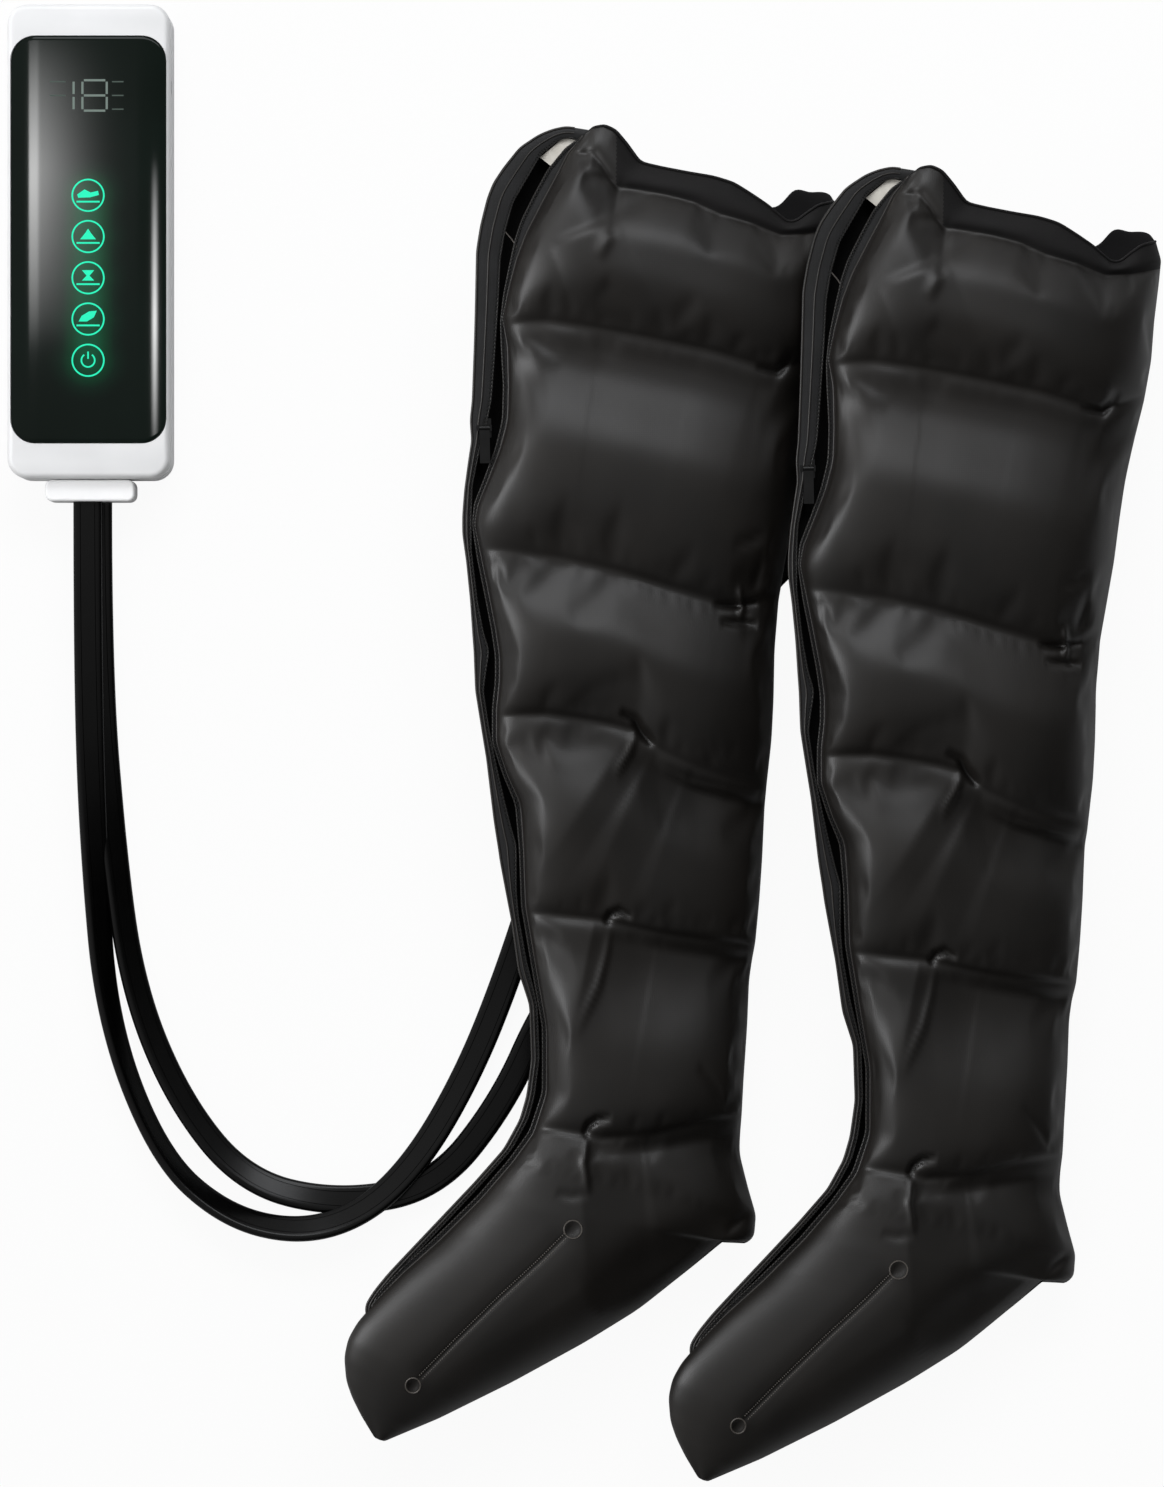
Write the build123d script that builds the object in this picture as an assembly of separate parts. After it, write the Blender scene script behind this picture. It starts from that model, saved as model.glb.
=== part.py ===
from build123d import *
import os
from math import asin, degrees, hypot, radians, tan
from typing import NamedTuple

# Compression therapy pump, laid flat: a hand controller, two flat hoses and two leg boots.
# Millimetres, +Z up. Everything rests on z = 0, and +Y runs from the toes to the thighs.

# ---------------------------------------------------------------- clearances
FIT = 0.15            # between pieces that are set into each other
RUNNING = 0.05        # radial, on a shaft or a plunger
SOFT_GAP = 0.3        # around fabric and moving trim

# ---------------------------------------------------------------- controller case
CASE_WIDTH = 112.5
CASE_LENGTH = 328.0
CASE_CORNER = 14.0
CASE_EDGE_ROUND = 4.0
WALL = 2.5
FOOT_HEIGHT = 1.5
FOOT_RADIUS = 6.0
FOOT_INSET_X = 17.0
FOOT_INSET_Y = 34.0
REAR_HEIGHT = 22.0
FRONT_HEIGHT = 20.5
CASE_X = -341.3
CASE_Y = 347.4

BOSS_RADIUS = 3.8
BOSS_INSET = 10.5
SCREW_RADIUS = 1.5
SCREW_HEAD_RADIUS = 2.8
SCREW_HEAD_HEIGHT = 2.0
SCREW_SINK = 6.0
SCREW_LENGTH = 24.0

# ---------------------------------------------------------------- glass and what lies under it
GLASS_SIDE_RIM = 2.55
GLASS_WIDTH = CASE_WIDTH - 2 * GLASS_SIDE_RIM
GLASS_LENGTH = 281.5
GLASS_CORNER = 17.0
GLASS_THICKNESS = 4.0
GLASS_EDGE_ROUND = 3.0
GLASS_RECESS = 3.0
GLASS_SHIFT_Y = 1.0
LEDGE_WIDTH = 5.0
LEDGE_THICKNESS = 2.5
BOARD_THICKNESS = 1.6
BOARD_LAP = 2.5
BOARD_LUG_LENGTH = 8.0
MODULE_HEIGHT = 5.0
DISPLAY_WIDTH = 54.0
DISPLAY_LENGTH = 30.0
DISPLAY_Y = 100.4
ICON_COUNT = 5
ICON_RADIUS = 12.0
ICON_BORE = 9.6
ICON_PITCH = 28.5
ICON_FIRST_Y = 31.4

# ---------------------------------------------------------------- power and control inside
CELL_COUNT = 3
CELL_RADIUS = 9.25
CELL_LENGTH = 65.0
CELL_GAP = 0.4
CELL_START_Y = 24.0
CRADLE_THICKNESS = 2.0
CRADLE_HEIGHT = 10.0
MAIN_BOARD_WIDTH = 92.0
MAIN_BOARD_LENGTH = 126.0
MAIN_BOARD_START_Y = 16.0
MAIN_BOARD_BOTTOM = 25.0
BOARD_POST_RADIUS = 3.0
BOARD_POST_INSET = 5.0
BUZZER_RADIUS = 6.0
BUZZER_HEIGHT = 5.0
BUZZER_Y = 124.0
PORT_WIDTH = 9.0
PORT_HEIGHT = 3.2
PORT_Y = 108.0
PORT_SEAT = 3.0

# ---------------------------------------------------------------- air pump and valves
AXIS_HEIGHT = 21.0
MOTOR_RADIUS = 12.2
MOTOR_LENGTH = 31.0
MOTOR_FACE_Y = -24.0
MOTOR_BORE_DEPTH = 12.0
SHAFT_RADIUS = 1.5
BRACKET_WIDTH = 30.0
BRACKET_LENGTH = 18.0
PUMP_RADIUS = 13.0
PUMP_WALL = 1.5
PUMP_LENGTH = 22.0
CRANK_RADIUS = 5.0
CRANK_LENGTH = 6.0
CRANK_GAP = 0.8
PIN_RADIUS = 0.8
PIN_OFFSET = 1.2
PIN_LENGTH = 3.6
ROCKER_RADIUS = 9.5
ROCKER_THICKNESS = 2.0
ROCKER_BOSS_RADIUS = 4.2
ROCKER_BOSS_LENGTH = 4.0
ROCKER_BORE = 2.9
ROCKER_GAP = 0.6
DIAPHRAGM_THICKNESS = 1.5
DIAPHRAGM_CUP_RADIUS = 3.0
DIAPHRAGM_CUP_OFFSET = 6.4
PUMP_CAP_LENGTH = 6.0
BARB_RADIUS = 2.5
BARB_LENGTH = 8.0
TUBE_WALL = 1.5
MANIFOLD_WIDTH = 60.0
MANIFOLD_DEPTH = 16.0
MANIFOLD_HEIGHT = 16.0
MANIFOLD_BACK_Y = -84.0
MANIFOLD_POST_RADIUS = 4.0
VALVE_OFFSET_X = 20.0
VALVE_RADIUS = 8.0
VALVE_LENGTH = 20.0
PLUNGER_RADIUS = 3.0
PLUNGER_LENGTH = 13.0
PLUNGER_TRAVEL = 1.5

# ---------------------------------------------------------------- air socket and hose plug
SOCKET_WIDTH = 50.0
SOCKET_HEIGHT = 18.0
SOCKET_DEPTH = 24.0
SOCKET_CORNER = 3.0
PORT_OFFSET_X = 14.0
NIPPLE_RADIUS = 5.0
NIPPLE_LENGTH = 17.0
NIPPLE_BORE = 2.0
NIPPLE_END_GAP = 1.0
SEAL_WIDTH = 2.0
SEAL_DEPTH = 1.0
SEAL_FROM_TIP = 4.0
PLUG_WIDTH = 62.0
PLUG_DEPTH = 15.0
PLUG_HEIGHT = 26.0
PLUG_CORNER = 5.0
PLUG_EDGE_ROUND = 1.5
PLUG_GAP = 0.4

# ---------------------------------------------------------------- hoses
HOSE_WIDTH = 20.0
HOSE_THICKNESS = 6.4
HOSE_EDGE_ROUND = 2.6
HOSE_STACK = 9.5      # from one hose's middle to the other's, in the plug
ARC_SHARE = 0.45      # of the shorter run, used by the arc at each point

# ---------------------------------------------------------------- boots, in the plane of one boot
BOOT_ORIGIN_X = 46.9
BOOT_ORIGIN_Y = 2.1
BOOT_STEP_X = 220.8
BOOT_STEP_Y = -27.6
BOOT_ROLL = 8.0       # the zip edge lies higher than the calf edge
BOOT_PITCH = 1.6      # the thigh lies higher than the foot
CUFF_WALL = 22.0      # chamber wall at the zip edge and at the calf edge
LEG_GAP = 36.0        # height of the room for the leg
FOOT_GAP = 24.0


class Station(NamedTuple):
    """A cut across the boot: its zip-side point, its calf-side point and its thickness."""

    front: tuple
    back: tuple
    thickness: float
    gap: float


RIM = Station((-39.0, 414.0), (129.0, 369.0), 64.0, LEG_GAP)
HEM = Station((-46.0, 392.0), (131.0, 347.0), 76.0, LEG_GAP)
UPPER_THIGH = Station((-82.0, 340.0), (127.0, 303.0), 108.0, LEG_GAP)
SEAM_1 = Station((-98.0, 286.0), (116.0, 250.0), 86.0, LEG_GAP)
LOWER_THIGH = Station((-107.0, 207.0), (100.0, 171.0), 112.0, LEG_GAP)
SEAM_2 = Station((-107.0, 124.0), (88.0, 91.0), 80.0, LEG_GAP)
KNEE = Station((-105.0, 62.0), (85.0, 28.0), 104.0, LEG_GAP)
SEAM_3 = Station((-98.0, 4.0), (81.0, -33.0), 74.0, LEG_GAP)
CALF = Station((-91.0, -59.0), (77.0, -86.0), 96.0, LEG_GAP)
SEAM_4 = Station((-79.0, -122.0), (72.0, -139.0), 62.0, LEG_GAP)
SHIN = Station((-67.0, -190.0), (68.0, -200.0), 90.0, LEG_GAP)
SEAM_5 = Station((-70.0, -257.0), (63.0, -262.0), 64.0, FOOT_GAP)
INSTEP = Station((-108.0, -316.0), (74.0, -333.0), 84.0, FOOT_GAP)
ARCH = Station((-146.0, -357.0), (-7.0, -393.0), 66.0, FOOT_GAP)
BALL = Station((-174.0, -386.0), (-91.0, -440.0), 50.0, FOOT_GAP)
TOE = Station((-193.0, -416.0), (-172.0, -485.4), 26.0, FOOT_GAP)

CHAMBERS = {
    "chamber_1_upper_thigh": (HEM, UPPER_THIGH, SEAM_1),
    "chamber_2_lower_thigh": (SEAM_1, LOWER_THIGH, SEAM_2),
    "chamber_3_knee": (SEAM_2, KNEE, SEAM_3),
    "chamber_4_calf": (SEAM_3, CALF, SEAM_4),
    "chamber_5_shin": (SEAM_4, SHIN, SEAM_5),
    "chamber_6_foot": (SEAM_5, INSTEP, ARCH, BALL, TOE),
}

# Zip side of the boot, from the rim to the toe.
FLAP_RISE = 12.0      # of the open flap at the rim, above the boot's middle plane
FAR_ARCH_OUTER = [(-49.0, 421.0), (-77.0, 418.0), (-102.0, 395.0), (-114.0, 374.0), (-121.0, 338.0)]
FAR_ARCH_INNER = [(-62.0, 413.0), (-76.0, 405.0), (-86.0, 388.0), (-98.0, 366.0), (-104.0, 332.0)]
FAR_EDGE_BEND = (-122.0, 276.0)
ZIP_TOP = (-125.56, 221.0)
ZIP_BOTTOM = (-121.3, 34.5)
OUTER_EDGE_LOWER = [(-113.6, -12.4), (-108.7, -58.7), (-96.2, -124.2), (-83.6, -183.5), (-82.2, -222.9),
                    (-90.6, -262.2), (-119.9, -305.0), (-159.6, -344.3), (-187.5, -376.0),
                    (-207.7, -409.5), (-212.6, -421.0)]
NEAR_EDGE_UPPER = [(-50.0, 411.0), (-64.8, 389.9), (-85.7, 350.5), (-98.3, 311.9), (-106.6, 271.2),
                   (-113.5, 236.0)]
TAPE_THICKNESS = 1.2
TAPE_LEVEL = 1.2      # underside of the tapes, above the gusset's top
GUSSET_THICKNESS = 1.6
GUSSET_LEVEL = -2.8
GUSSET_LAP = 12.0
FAR_TAPE_WIDTH = 7.6
TAPE_FOLD = 2.6       # the tape's edge is folded down onto the gusset as far as this
FOLD_INSET = 0.6
LANE_WIDTH = 1.6      # between the two rows of the zip
COIL_WIDTH = 2.0
COIL_HEIGHT = 1.8
NEAR_TAPE_WIDTH = 12.0
SLIDER_WIDTH = 10.0
SLIDER_LENGTH = 13.0
SLIDER_START = 7.0    # of its middle, below the top of the straight stretch
SLIDER_PLATE = 1.6
SLIDER_FLANGE = 1.4
BRIDGE_WIDTH = 1.0
BRIDGE_LENGTH = 5.0
PULL_WIDTH = 7.0
PULL_LENGTH = 24.0
PULL_THICKNESS = 1.4
EAR_GAP = 0.3
EAR_WIDTH = 1.2
EAR_LENGTH = 4.0
PULL_PIN_RADIUS = 0.8
LABEL_CORNERS = [(-76.0, 400.0), (-58.0, 409.0), (-51.0, 403.0), (-63.0, 388.0)]
LABEL_THICKNESS = 0.4

# Where the hose enters the underside of a boot, seen in the plane of the floor.
INLET_X = -44.0
INLET_Y = 213.0
INLET_ANGLE = 22.0    # of the hose's last run, from +Y towards +X
INLET_WIDTH = 24.0
INLET_LENGTH = 16.0
INLET_HEIGHT = 7.6
INLET_BOTTOM = 0.4
INLET_RISER_RADIUS = 6.0
INLET_LEAD = 52.0     # the hose's last run, straight out of the inlet

# The hand-chosen route of each hose between its straight leads at the plug and at the inlet.
LEFT_HOSE_START = (-343.4, 47.0)
LEFT_HOSE_ROUTE = [
    (-340.3, -78.0, 14.5), (-332.0, -193.8, 5.0), (-295.2, -288.2, 3.7), (-249.0, -329.5, 5.5),
    (-196.8, -341.3, 11.5), (-151.4, -327.3, 11.7), (-113.1, -289.6, 11.5), (-78.3, -228.7, 4.2),
    (-51.8, -162.3, 3.7), (-28.0, -88.8, 3.7), (-32.9, -18.9, 3.7), (-46.0, 44.1, 3.7),
    (-59.0, 102.0, 3.7),
]
RIGHT_HOSE_START = (-337.4, 47.0)
RIGHT_HOSE_ROUTE = [
    (-327.4, -74.8, 3.9), (-313.4, -172.8, 3.7), (-281.2, -249.7, 3.7), (-235.7, -305.7, 3.7),
    (-172.8, -321.8, 3.7), (-102.8, -310.6, 3.7), (-55.3, -251.1, 3.7), (-25.9, -185.4, 3.7),
    (-3.7, -162.0, 3.7), (25.0, -144.0, 3.7), (58.0, -135.0, 3.7), (86.0, -118.0, 3.7),
    (104.0, -89.0, 3.7), (111.0, -45.0, 3.7), (117.0, 15.0, 3.7), (124.0, 72.0, 3.7),
]


# ---------------------------------------------------------------- small builders
ON_FLOOR = (Align.CENTER, Align.CENTER, Align.MIN)


def block(width, length, height, x, y, bottom):
    """A box by its middle in X and Y and by its underside."""
    return Pos(x, y, bottom) * Box(width, length, height, align=ON_FLOOR)


def post(radius, height, x, y, bottom):
    """An upright cylinder."""
    return Pos(x, y, bottom) * Cylinder(radius, height, align=ON_FLOOR)


def rod(radius, length, x, start_y, z):
    """A cylinder along +Y from start_y."""
    return Pos(x, start_y, z) * Rot(-90, 0, 0) * Cylinder(radius, length, align=ON_FLOOR)


def plate(width, length, height, corner, bottom):
    """A slab with rounded corners, centred in X and Y."""
    return Pos(0, 0, bottom) * extrude(RectangleRounded(width, length, corner), height)


def corners(inset_x, inset_y):
    """The four places that lie inset from the corners of the case."""
    half_x = CASE_WIDTH / 2 - inset_x
    half_y = CASE_LENGTH / 2 - inset_y
    return [(sx * half_x, sy * half_y) for sx in (-1, 1) for sy in (-1, 1)]


# ---------------------------------------------------------------- levels in the controller
SPLIT = FOOT_HEIGHT + REAR_HEIGHT
CASE_TOP = SPLIT + FRONT_HEIGHT
FLOOR = FOOT_HEIGHT + WALL
LEDGE_TOP = CASE_TOP - GLASS_RECESS
LEDGE_BOTTOM = LEDGE_TOP - LEDGE_THICKNESS
WINDOW_WIDTH = GLASS_WIDTH - 2 * LEDGE_WIDTH
WINDOW_LENGTH = GLASS_LENGTH - 2 * LEDGE_WIDTH
TOUCH_TOP = LEDGE_TOP - MODULE_HEIGHT
CASE_END_Y = -CASE_LENGTH / 2
MAIN_BOARD_Y = MAIN_BOARD_START_Y + MAIN_BOARD_LENGTH / 2
MAIN_BOARD_TOP = MAIN_BOARD_BOTTOM + BOARD_THICKNESS
SOCKET_BACK_Y = CASE_END_Y + SOCKET_DEPTH
MANIFOLD_FRONT_Y = MANIFOLD_BACK_Y - MANIFOLD_DEPTH
PUMP_OPEN_Y = MOTOR_FACE_Y - PUMP_LENGTH
CAP_BACK_Y = PUMP_OPEN_Y - DIAPHRAGM_THICKNESS
CAP_FRONT_Y = CAP_BACK_Y - PUMP_CAP_LENGTH


def socket_opening():
    """The hole in the lower end wall that the air socket fills."""
    face = RectangleRounded(SOCKET_WIDTH + 2 * FIT, SOCKET_HEIGHT + 2 * FIT, SOCKET_CORNER)
    return Pos(0, CASE_END_Y + 2 * WALL, AXIS_HEIGHT) * Rot(90, 0, 0) * extrude(face, 4 * WALL)


def board_posts():
    """The places of the four posts under the main board."""
    half_x = MAIN_BOARD_WIDTH / 2 - BOARD_POST_INSET
    half_y = MAIN_BOARD_LENGTH / 2 - BOARD_POST_INSET
    return [(sx * half_x, MAIN_BOARD_Y + sy * half_y) for sx in (-1, 1) for sy in (-1, 1)]


def rear_housing():
    """The lower shell with its screw bosses, battery cradle and posts."""
    shell = plate(CASE_WIDTH, CASE_LENGTH, REAR_HEIGHT, CASE_CORNER, FOOT_HEIGHT)
    shell = fillet(shell.edges().group_by(Axis.Z)[0], CASE_EDGE_ROUND)
    shell -= plate(CASE_WIDTH - 2 * WALL, CASE_LENGTH - 2 * WALL, REAR_HEIGHT, CASE_CORNER - WALL, FLOOR)
    for x, y in corners(BOSS_INSET, BOSS_INSET):
        shell += post(BOSS_RADIUS, SPLIT - FLOOR, x, y, FLOOR)
        shell -= post(SCREW_RADIUS + FIT, REAR_HEIGHT, x, y, FOOT_HEIGHT)
        shell -= post(SCREW_HEAD_RADIUS + FIT, SCREW_SINK, x, y, FOOT_HEIGHT)
    for x, y in board_posts():
        shell += post(BOARD_POST_RADIUS, MAIN_BOARD_BOTTOM - FLOOR, x, y, FLOOR)
    cradle_width = CELL_COUNT * (2 * CELL_RADIUS + CELL_GAP)
    first_rib = CELL_START_Y - FIT - CRADLE_THICKNESS / 2
    last_rib = CELL_START_Y + CELL_LENGTH + FIT + CRADLE_THICKNESS / 2
    for y in (first_rib, last_rib):
        shell += block(cradle_width, CRADLE_THICKNESS, CRADLE_HEIGHT, 0, y, FLOOR)
    for side in (-1, 1):
        post_x = side * (MANIFOLD_WIDTH / 2 - MANIFOLD_POST_RADIUS)
        post_height = AXIS_HEIGHT - MANIFOLD_HEIGHT / 2 - FLOOR
        post_y = MANIFOLD_BACK_Y - MANIFOLD_DEPTH / 2
        shell += post(MANIFOLD_POST_RADIUS, post_height, post_x, post_y, FLOOR)
    return shell - socket_opening()


def front_housing():
    """The upper shell: the rim around the glass, its ledge and the lugs for the touch board."""
    shell = plate(CASE_WIDTH, CASE_LENGTH, FRONT_HEIGHT, CASE_CORNER, SPLIT)
    shell = fillet(shell.edges().group_by(Axis.Z)[-1], GLASS_RECESS / 2)
    inner_height = LEDGE_BOTTOM - SPLIT
    shell -= plate(CASE_WIDTH - 2 * WALL, CASE_LENGTH - 2 * WALL, inner_height, CASE_CORNER - WALL, SPLIT)
    seat_width, seat_length = GLASS_WIDTH + 2 * FIT, GLASS_LENGTH + 2 * FIT
    glass_seat = plate(seat_width, seat_length, GLASS_RECESS, GLASS_CORNER + FIT, LEDGE_TOP)
    window = plate(WINDOW_WIDTH, WINDOW_LENGTH, LEDGE_THICKNESS, GLASS_CORNER - LEDGE_WIDTH, LEDGE_BOTTOM)
    shell -= Pos(0, GLASS_SHIFT_Y, 0) * (glass_seat + window)
    for x, y in corners(BOSS_INSET, BOSS_INSET):
        shell += post(BOSS_RADIUS, inner_height, x, y, SPLIT)
        shell -= post(SCREW_RADIUS + RUNNING, inner_height, x, y, SPLIT)
    lug_height = LEDGE_BOTTOM - TOUCH_TOP
    for side in (-1, 1):
        lug_x = side * (WINDOW_WIDTH / 2 + BOARD_LAP / 2)
        for share in (-1, 0, 1):
            lug_y = GLASS_SHIFT_Y + share * WINDOW_LENGTH / 3
            shell += block(BOARD_LAP, BOARD_LUG_LENGTH, lug_height, lug_x, lug_y, TOUCH_TOP)
    shell -= block(4 * WALL, PORT_WIDTH + 2 * FIT, PORT_HEIGHT + 2 * FIT, CASE_WIDTH / 2, PORT_Y,
                   MAIN_BOARD_TOP - FIT)
    return shell - socket_opening()


def glass_panel():
    """The touch glass, with its upper edge rounded off."""
    glass = plate(GLASS_WIDTH, GLASS_LENGTH, GLASS_THICKNESS, GLASS_CORNER, LEDGE_TOP)
    glass = fillet(glass.edges().group_by(Axis.Z)[-1], GLASS_EDGE_ROUND)
    return Pos(0, GLASS_SHIFT_Y, 0) * glass


def touch_board():
    """The sensor board that hangs from the lugs of the front housing."""
    width = WINDOW_WIDTH + 2 * BOARD_LAP
    return block(width, WINDOW_LENGTH, BOARD_THICKNESS, 0, GLASS_SHIFT_Y, TOUCH_TOP - BOARD_THICKNESS)


def display_module():
    """The digit display between the touch board and the glass."""
    return block(DISPLAY_WIDTH, DISPLAY_LENGTH, MODULE_HEIGHT, 0, DISPLAY_Y, TOUCH_TOP)


def icon_light_guides():
    """One clear ring under each touch symbol."""
    rings = []
    for index in range(ICON_COUNT):
        y = ICON_FIRST_Y - index * ICON_PITCH
        ring = post(ICON_RADIUS, MODULE_HEIGHT, 0, y, TOUCH_TOP)
        rings.append(ring - post(ICON_BORE, MODULE_HEIGHT, 0, y, TOUCH_TOP))
    return Compound(children=rings)


def housing_screws():
    """Four screws from below, one in each boss."""
    screws = []
    head_bottom = FOOT_HEIGHT + SCREW_SINK - SCREW_HEAD_HEIGHT
    for x, y in corners(BOSS_INSET, BOSS_INSET):
        head = post(SCREW_HEAD_RADIUS, SCREW_HEAD_HEIGHT, x, y, head_bottom)
        screws.append(head + post(SCREW_RADIUS, SCREW_LENGTH, x, y, head_bottom + SCREW_HEAD_HEIGHT))
    return Compound(children=screws)


def rubber_feet():
    """Four flat pads under the rear housing."""
    return Compound(children=[post(FOOT_RADIUS, FOOT_HEIGHT, x, y, 0)
                              for x, y in corners(FOOT_INSET_X, FOOT_INSET_Y)])


def battery_pack():
    """Three round cells side by side on the floor of the rear housing."""
    pitch = 2 * CELL_RADIUS + CELL_GAP
    first_x = -pitch * (CELL_COUNT - 1) / 2
    height = FLOOR + CELL_RADIUS
    return Compound(children=[rod(CELL_RADIUS, CELL_LENGTH, first_x + index * pitch, CELL_START_Y, height)
                              for index in range(CELL_COUNT)])


def main_board():
    """The control board over the battery."""
    return block(MAIN_BOARD_WIDTH, MAIN_BOARD_LENGTH, BOARD_THICKNESS, 0, MAIN_BOARD_Y, MAIN_BOARD_BOTTOM)


def buzzer():
    """The sounder on the control board."""
    return post(BUZZER_RADIUS, BUZZER_HEIGHT, 0, BUZZER_Y, MAIN_BOARD_TOP)


def charging_port():
    """The power inlet on the edge of the control board, flush with the right side wall."""
    start_x = MAIN_BOARD_WIDTH / 2 - PORT_SEAT
    length = CASE_WIDTH / 2 - start_x
    return block(length, PORT_WIDTH, PORT_HEIGHT, start_x + length / 2, PORT_Y, MAIN_BOARD_TOP)


def pump_motor():
    """The motor, with a bore for the shaft in its front."""
    motor = rod(MOTOR_RADIUS, MOTOR_LENGTH, 0, MOTOR_FACE_Y, AXIS_HEIGHT)
    return motor - rod(SHAFT_RADIUS + RUNNING, MOTOR_BORE_DEPTH, 0, MOTOR_FACE_Y, AXIS_HEIGHT)


def motor_bracket():
    """The saddle that carries the motor on the floor of the rear housing."""
    middle_y = MOTOR_FACE_Y + MOTOR_LENGTH / 2
    saddle = block(BRACKET_WIDTH, BRACKET_LENGTH, AXIS_HEIGHT - FLOOR, 0, middle_y, FLOOR)
    return saddle - rod(MOTOR_RADIUS + RUNNING, MOTOR_LENGTH, 0, MOTOR_FACE_Y, AXIS_HEIGHT)


def crank_face_y():
    """Where the crank's free face lies inside the pump body."""
    return MOTOR_FACE_Y - PUMP_WALL - CRANK_GAP - CRANK_LENGTH


def motor_shaft():
    """The shaft, its crank and the crank pin that drives the rocker."""
    shaft_length = MOTOR_FACE_Y + MOTOR_BORE_DEPTH - CRANK_GAP - crank_face_y()
    shaft = rod(SHAFT_RADIUS, shaft_length, 0, crank_face_y(), AXIS_HEIGHT)
    shaft += rod(CRANK_RADIUS, CRANK_LENGTH, 0, crank_face_y(), AXIS_HEIGHT)
    return shaft + rod(PIN_RADIUS, PIN_LENGTH, 0, crank_face_y() - PIN_LENGTH, AXIS_HEIGHT + PIN_OFFSET)


def pump_body():
    """The cup on the motor's face that houses the crank and the rocker."""
    cup = rod(PUMP_RADIUS, PUMP_LENGTH, 0, PUMP_OPEN_Y, AXIS_HEIGHT)
    cup -= rod(PUMP_RADIUS - PUMP_WALL, PUMP_LENGTH - PUMP_WALL, 0, PUMP_OPEN_Y, AXIS_HEIGHT)
    return cup - rod(SHAFT_RADIUS + 2 * FIT, PUMP_LENGTH, 0, PUMP_OPEN_Y, AXIS_HEIGHT)


def rocker_middle_y():
    """Where the rocker's tilt axis lies."""
    return crank_face_y() - ROCKER_GAP - ROCKER_BOSS_LENGTH


def rocker_plate():
    """The plate that the crank pin rocks, with a boss around the pin."""
    boss = rod(ROCKER_BOSS_RADIUS, ROCKER_BOSS_LENGTH, 0, rocker_middle_y(), AXIS_HEIGHT)
    disc = rod(ROCKER_RADIUS, ROCKER_THICKNESS, 0, rocker_middle_y() - ROCKER_THICKNESS / 2, AXIS_HEIGHT)
    return disc + boss - rod(ROCKER_BORE, ROCKER_BOSS_LENGTH, 0, rocker_middle_y(), AXIS_HEIGHT)


def diaphragm():
    """The rubber membrane with three cups that reach to the rocker."""
    sheet = rod(PUMP_RADIUS, DIAPHRAGM_THICKNESS, 0, CAP_BACK_Y, AXIS_HEIGHT)
    cup_length = rocker_middle_y() - ROCKER_THICKNESS / 2 - ROCKER_GAP - PUMP_OPEN_Y
    for turn in (90, 210, 330):
        cup = Rot(0, turn, 0) * Pos(DIAPHRAGM_CUP_OFFSET, 0, 0) * rod(
            DIAPHRAGM_CUP_RADIUS, cup_length + DIAPHRAGM_THICKNESS, 0, CAP_BACK_Y, 0)
        sheet += Pos(0, 0, AXIS_HEIGHT) * cup
    return sheet


def pump_cap():
    """The cover of the pump, with the barb that its air leaves by."""
    cap = rod(PUMP_RADIUS, PUMP_CAP_LENGTH, 0, CAP_FRONT_Y, AXIS_HEIGHT)
    return cap + rod(BARB_RADIUS, BARB_LENGTH, 0, CAP_FRONT_Y - BARB_LENGTH, AXIS_HEIGHT)


def valve_manifold():
    """The block that shares the air out to the two hoses."""
    body = block(MANIFOLD_WIDTH, MANIFOLD_DEPTH, MANIFOLD_HEIGHT, 0, MANIFOLD_BACK_Y - MANIFOLD_DEPTH / 2,
                 AXIS_HEIGHT - MANIFOLD_HEIGHT / 2)
    body += rod(BARB_RADIUS, BARB_LENGTH, 0, MANIFOLD_BACK_Y, AXIS_HEIGHT)
    for side in (-1, 1):
        barb_end = MANIFOLD_FRONT_Y - BARB_LENGTH
        body += rod(BARB_RADIUS, BARB_LENGTH, side * PORT_OFFSET_X, barb_end, AXIS_HEIGHT)
    return body


def valve_coils():
    """Two solenoid coils on the manifold, each with a bore for its plunger."""
    coils = []
    bore_depth = PLUNGER_LENGTH + PLUNGER_TRAVEL + FIT
    for side in (-1, 1):
        coil = rod(VALVE_RADIUS, VALVE_LENGTH, side * VALVE_OFFSET_X, MANIFOLD_BACK_Y, AXIS_HEIGHT)
        coils.append(coil - rod(PLUNGER_RADIUS + RUNNING, bore_depth, side * VALVE_OFFSET_X, MANIFOLD_BACK_Y,
                                AXIS_HEIGHT))
    return Compound(children=coils)


def valve_plunger(side):
    """The plunger of one valve, on its seat."""
    length = PLUNGER_LENGTH - FIT
    return rod(PLUNGER_RADIUS, length, side * VALVE_OFFSET_X, MANIFOLD_BACK_Y + FIT, AXIS_HEIGHT)


def air_socket():
    """The socket in the end wall, with a bore for each nipple of the plug."""
    face = RectangleRounded(SOCKET_WIDTH, SOCKET_HEIGHT, SOCKET_CORNER)
    socket = Pos(0, SOCKET_BACK_Y, AXIS_HEIGHT) * Rot(90, 0, 0) * extrude(face, SOCKET_DEPTH)
    bore_depth = NIPPLE_LENGTH - PLUG_GAP + NIPPLE_END_GAP
    for side in (-1, 1):
        x = side * PORT_OFFSET_X
        socket += rod(BARB_RADIUS, BARB_LENGTH, x, SOCKET_BACK_Y, AXIS_HEIGHT)
        socket -= rod(NIPPLE_RADIUS + RUNNING, bore_depth, x, CASE_END_Y, AXIS_HEIGHT)
    return socket


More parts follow.
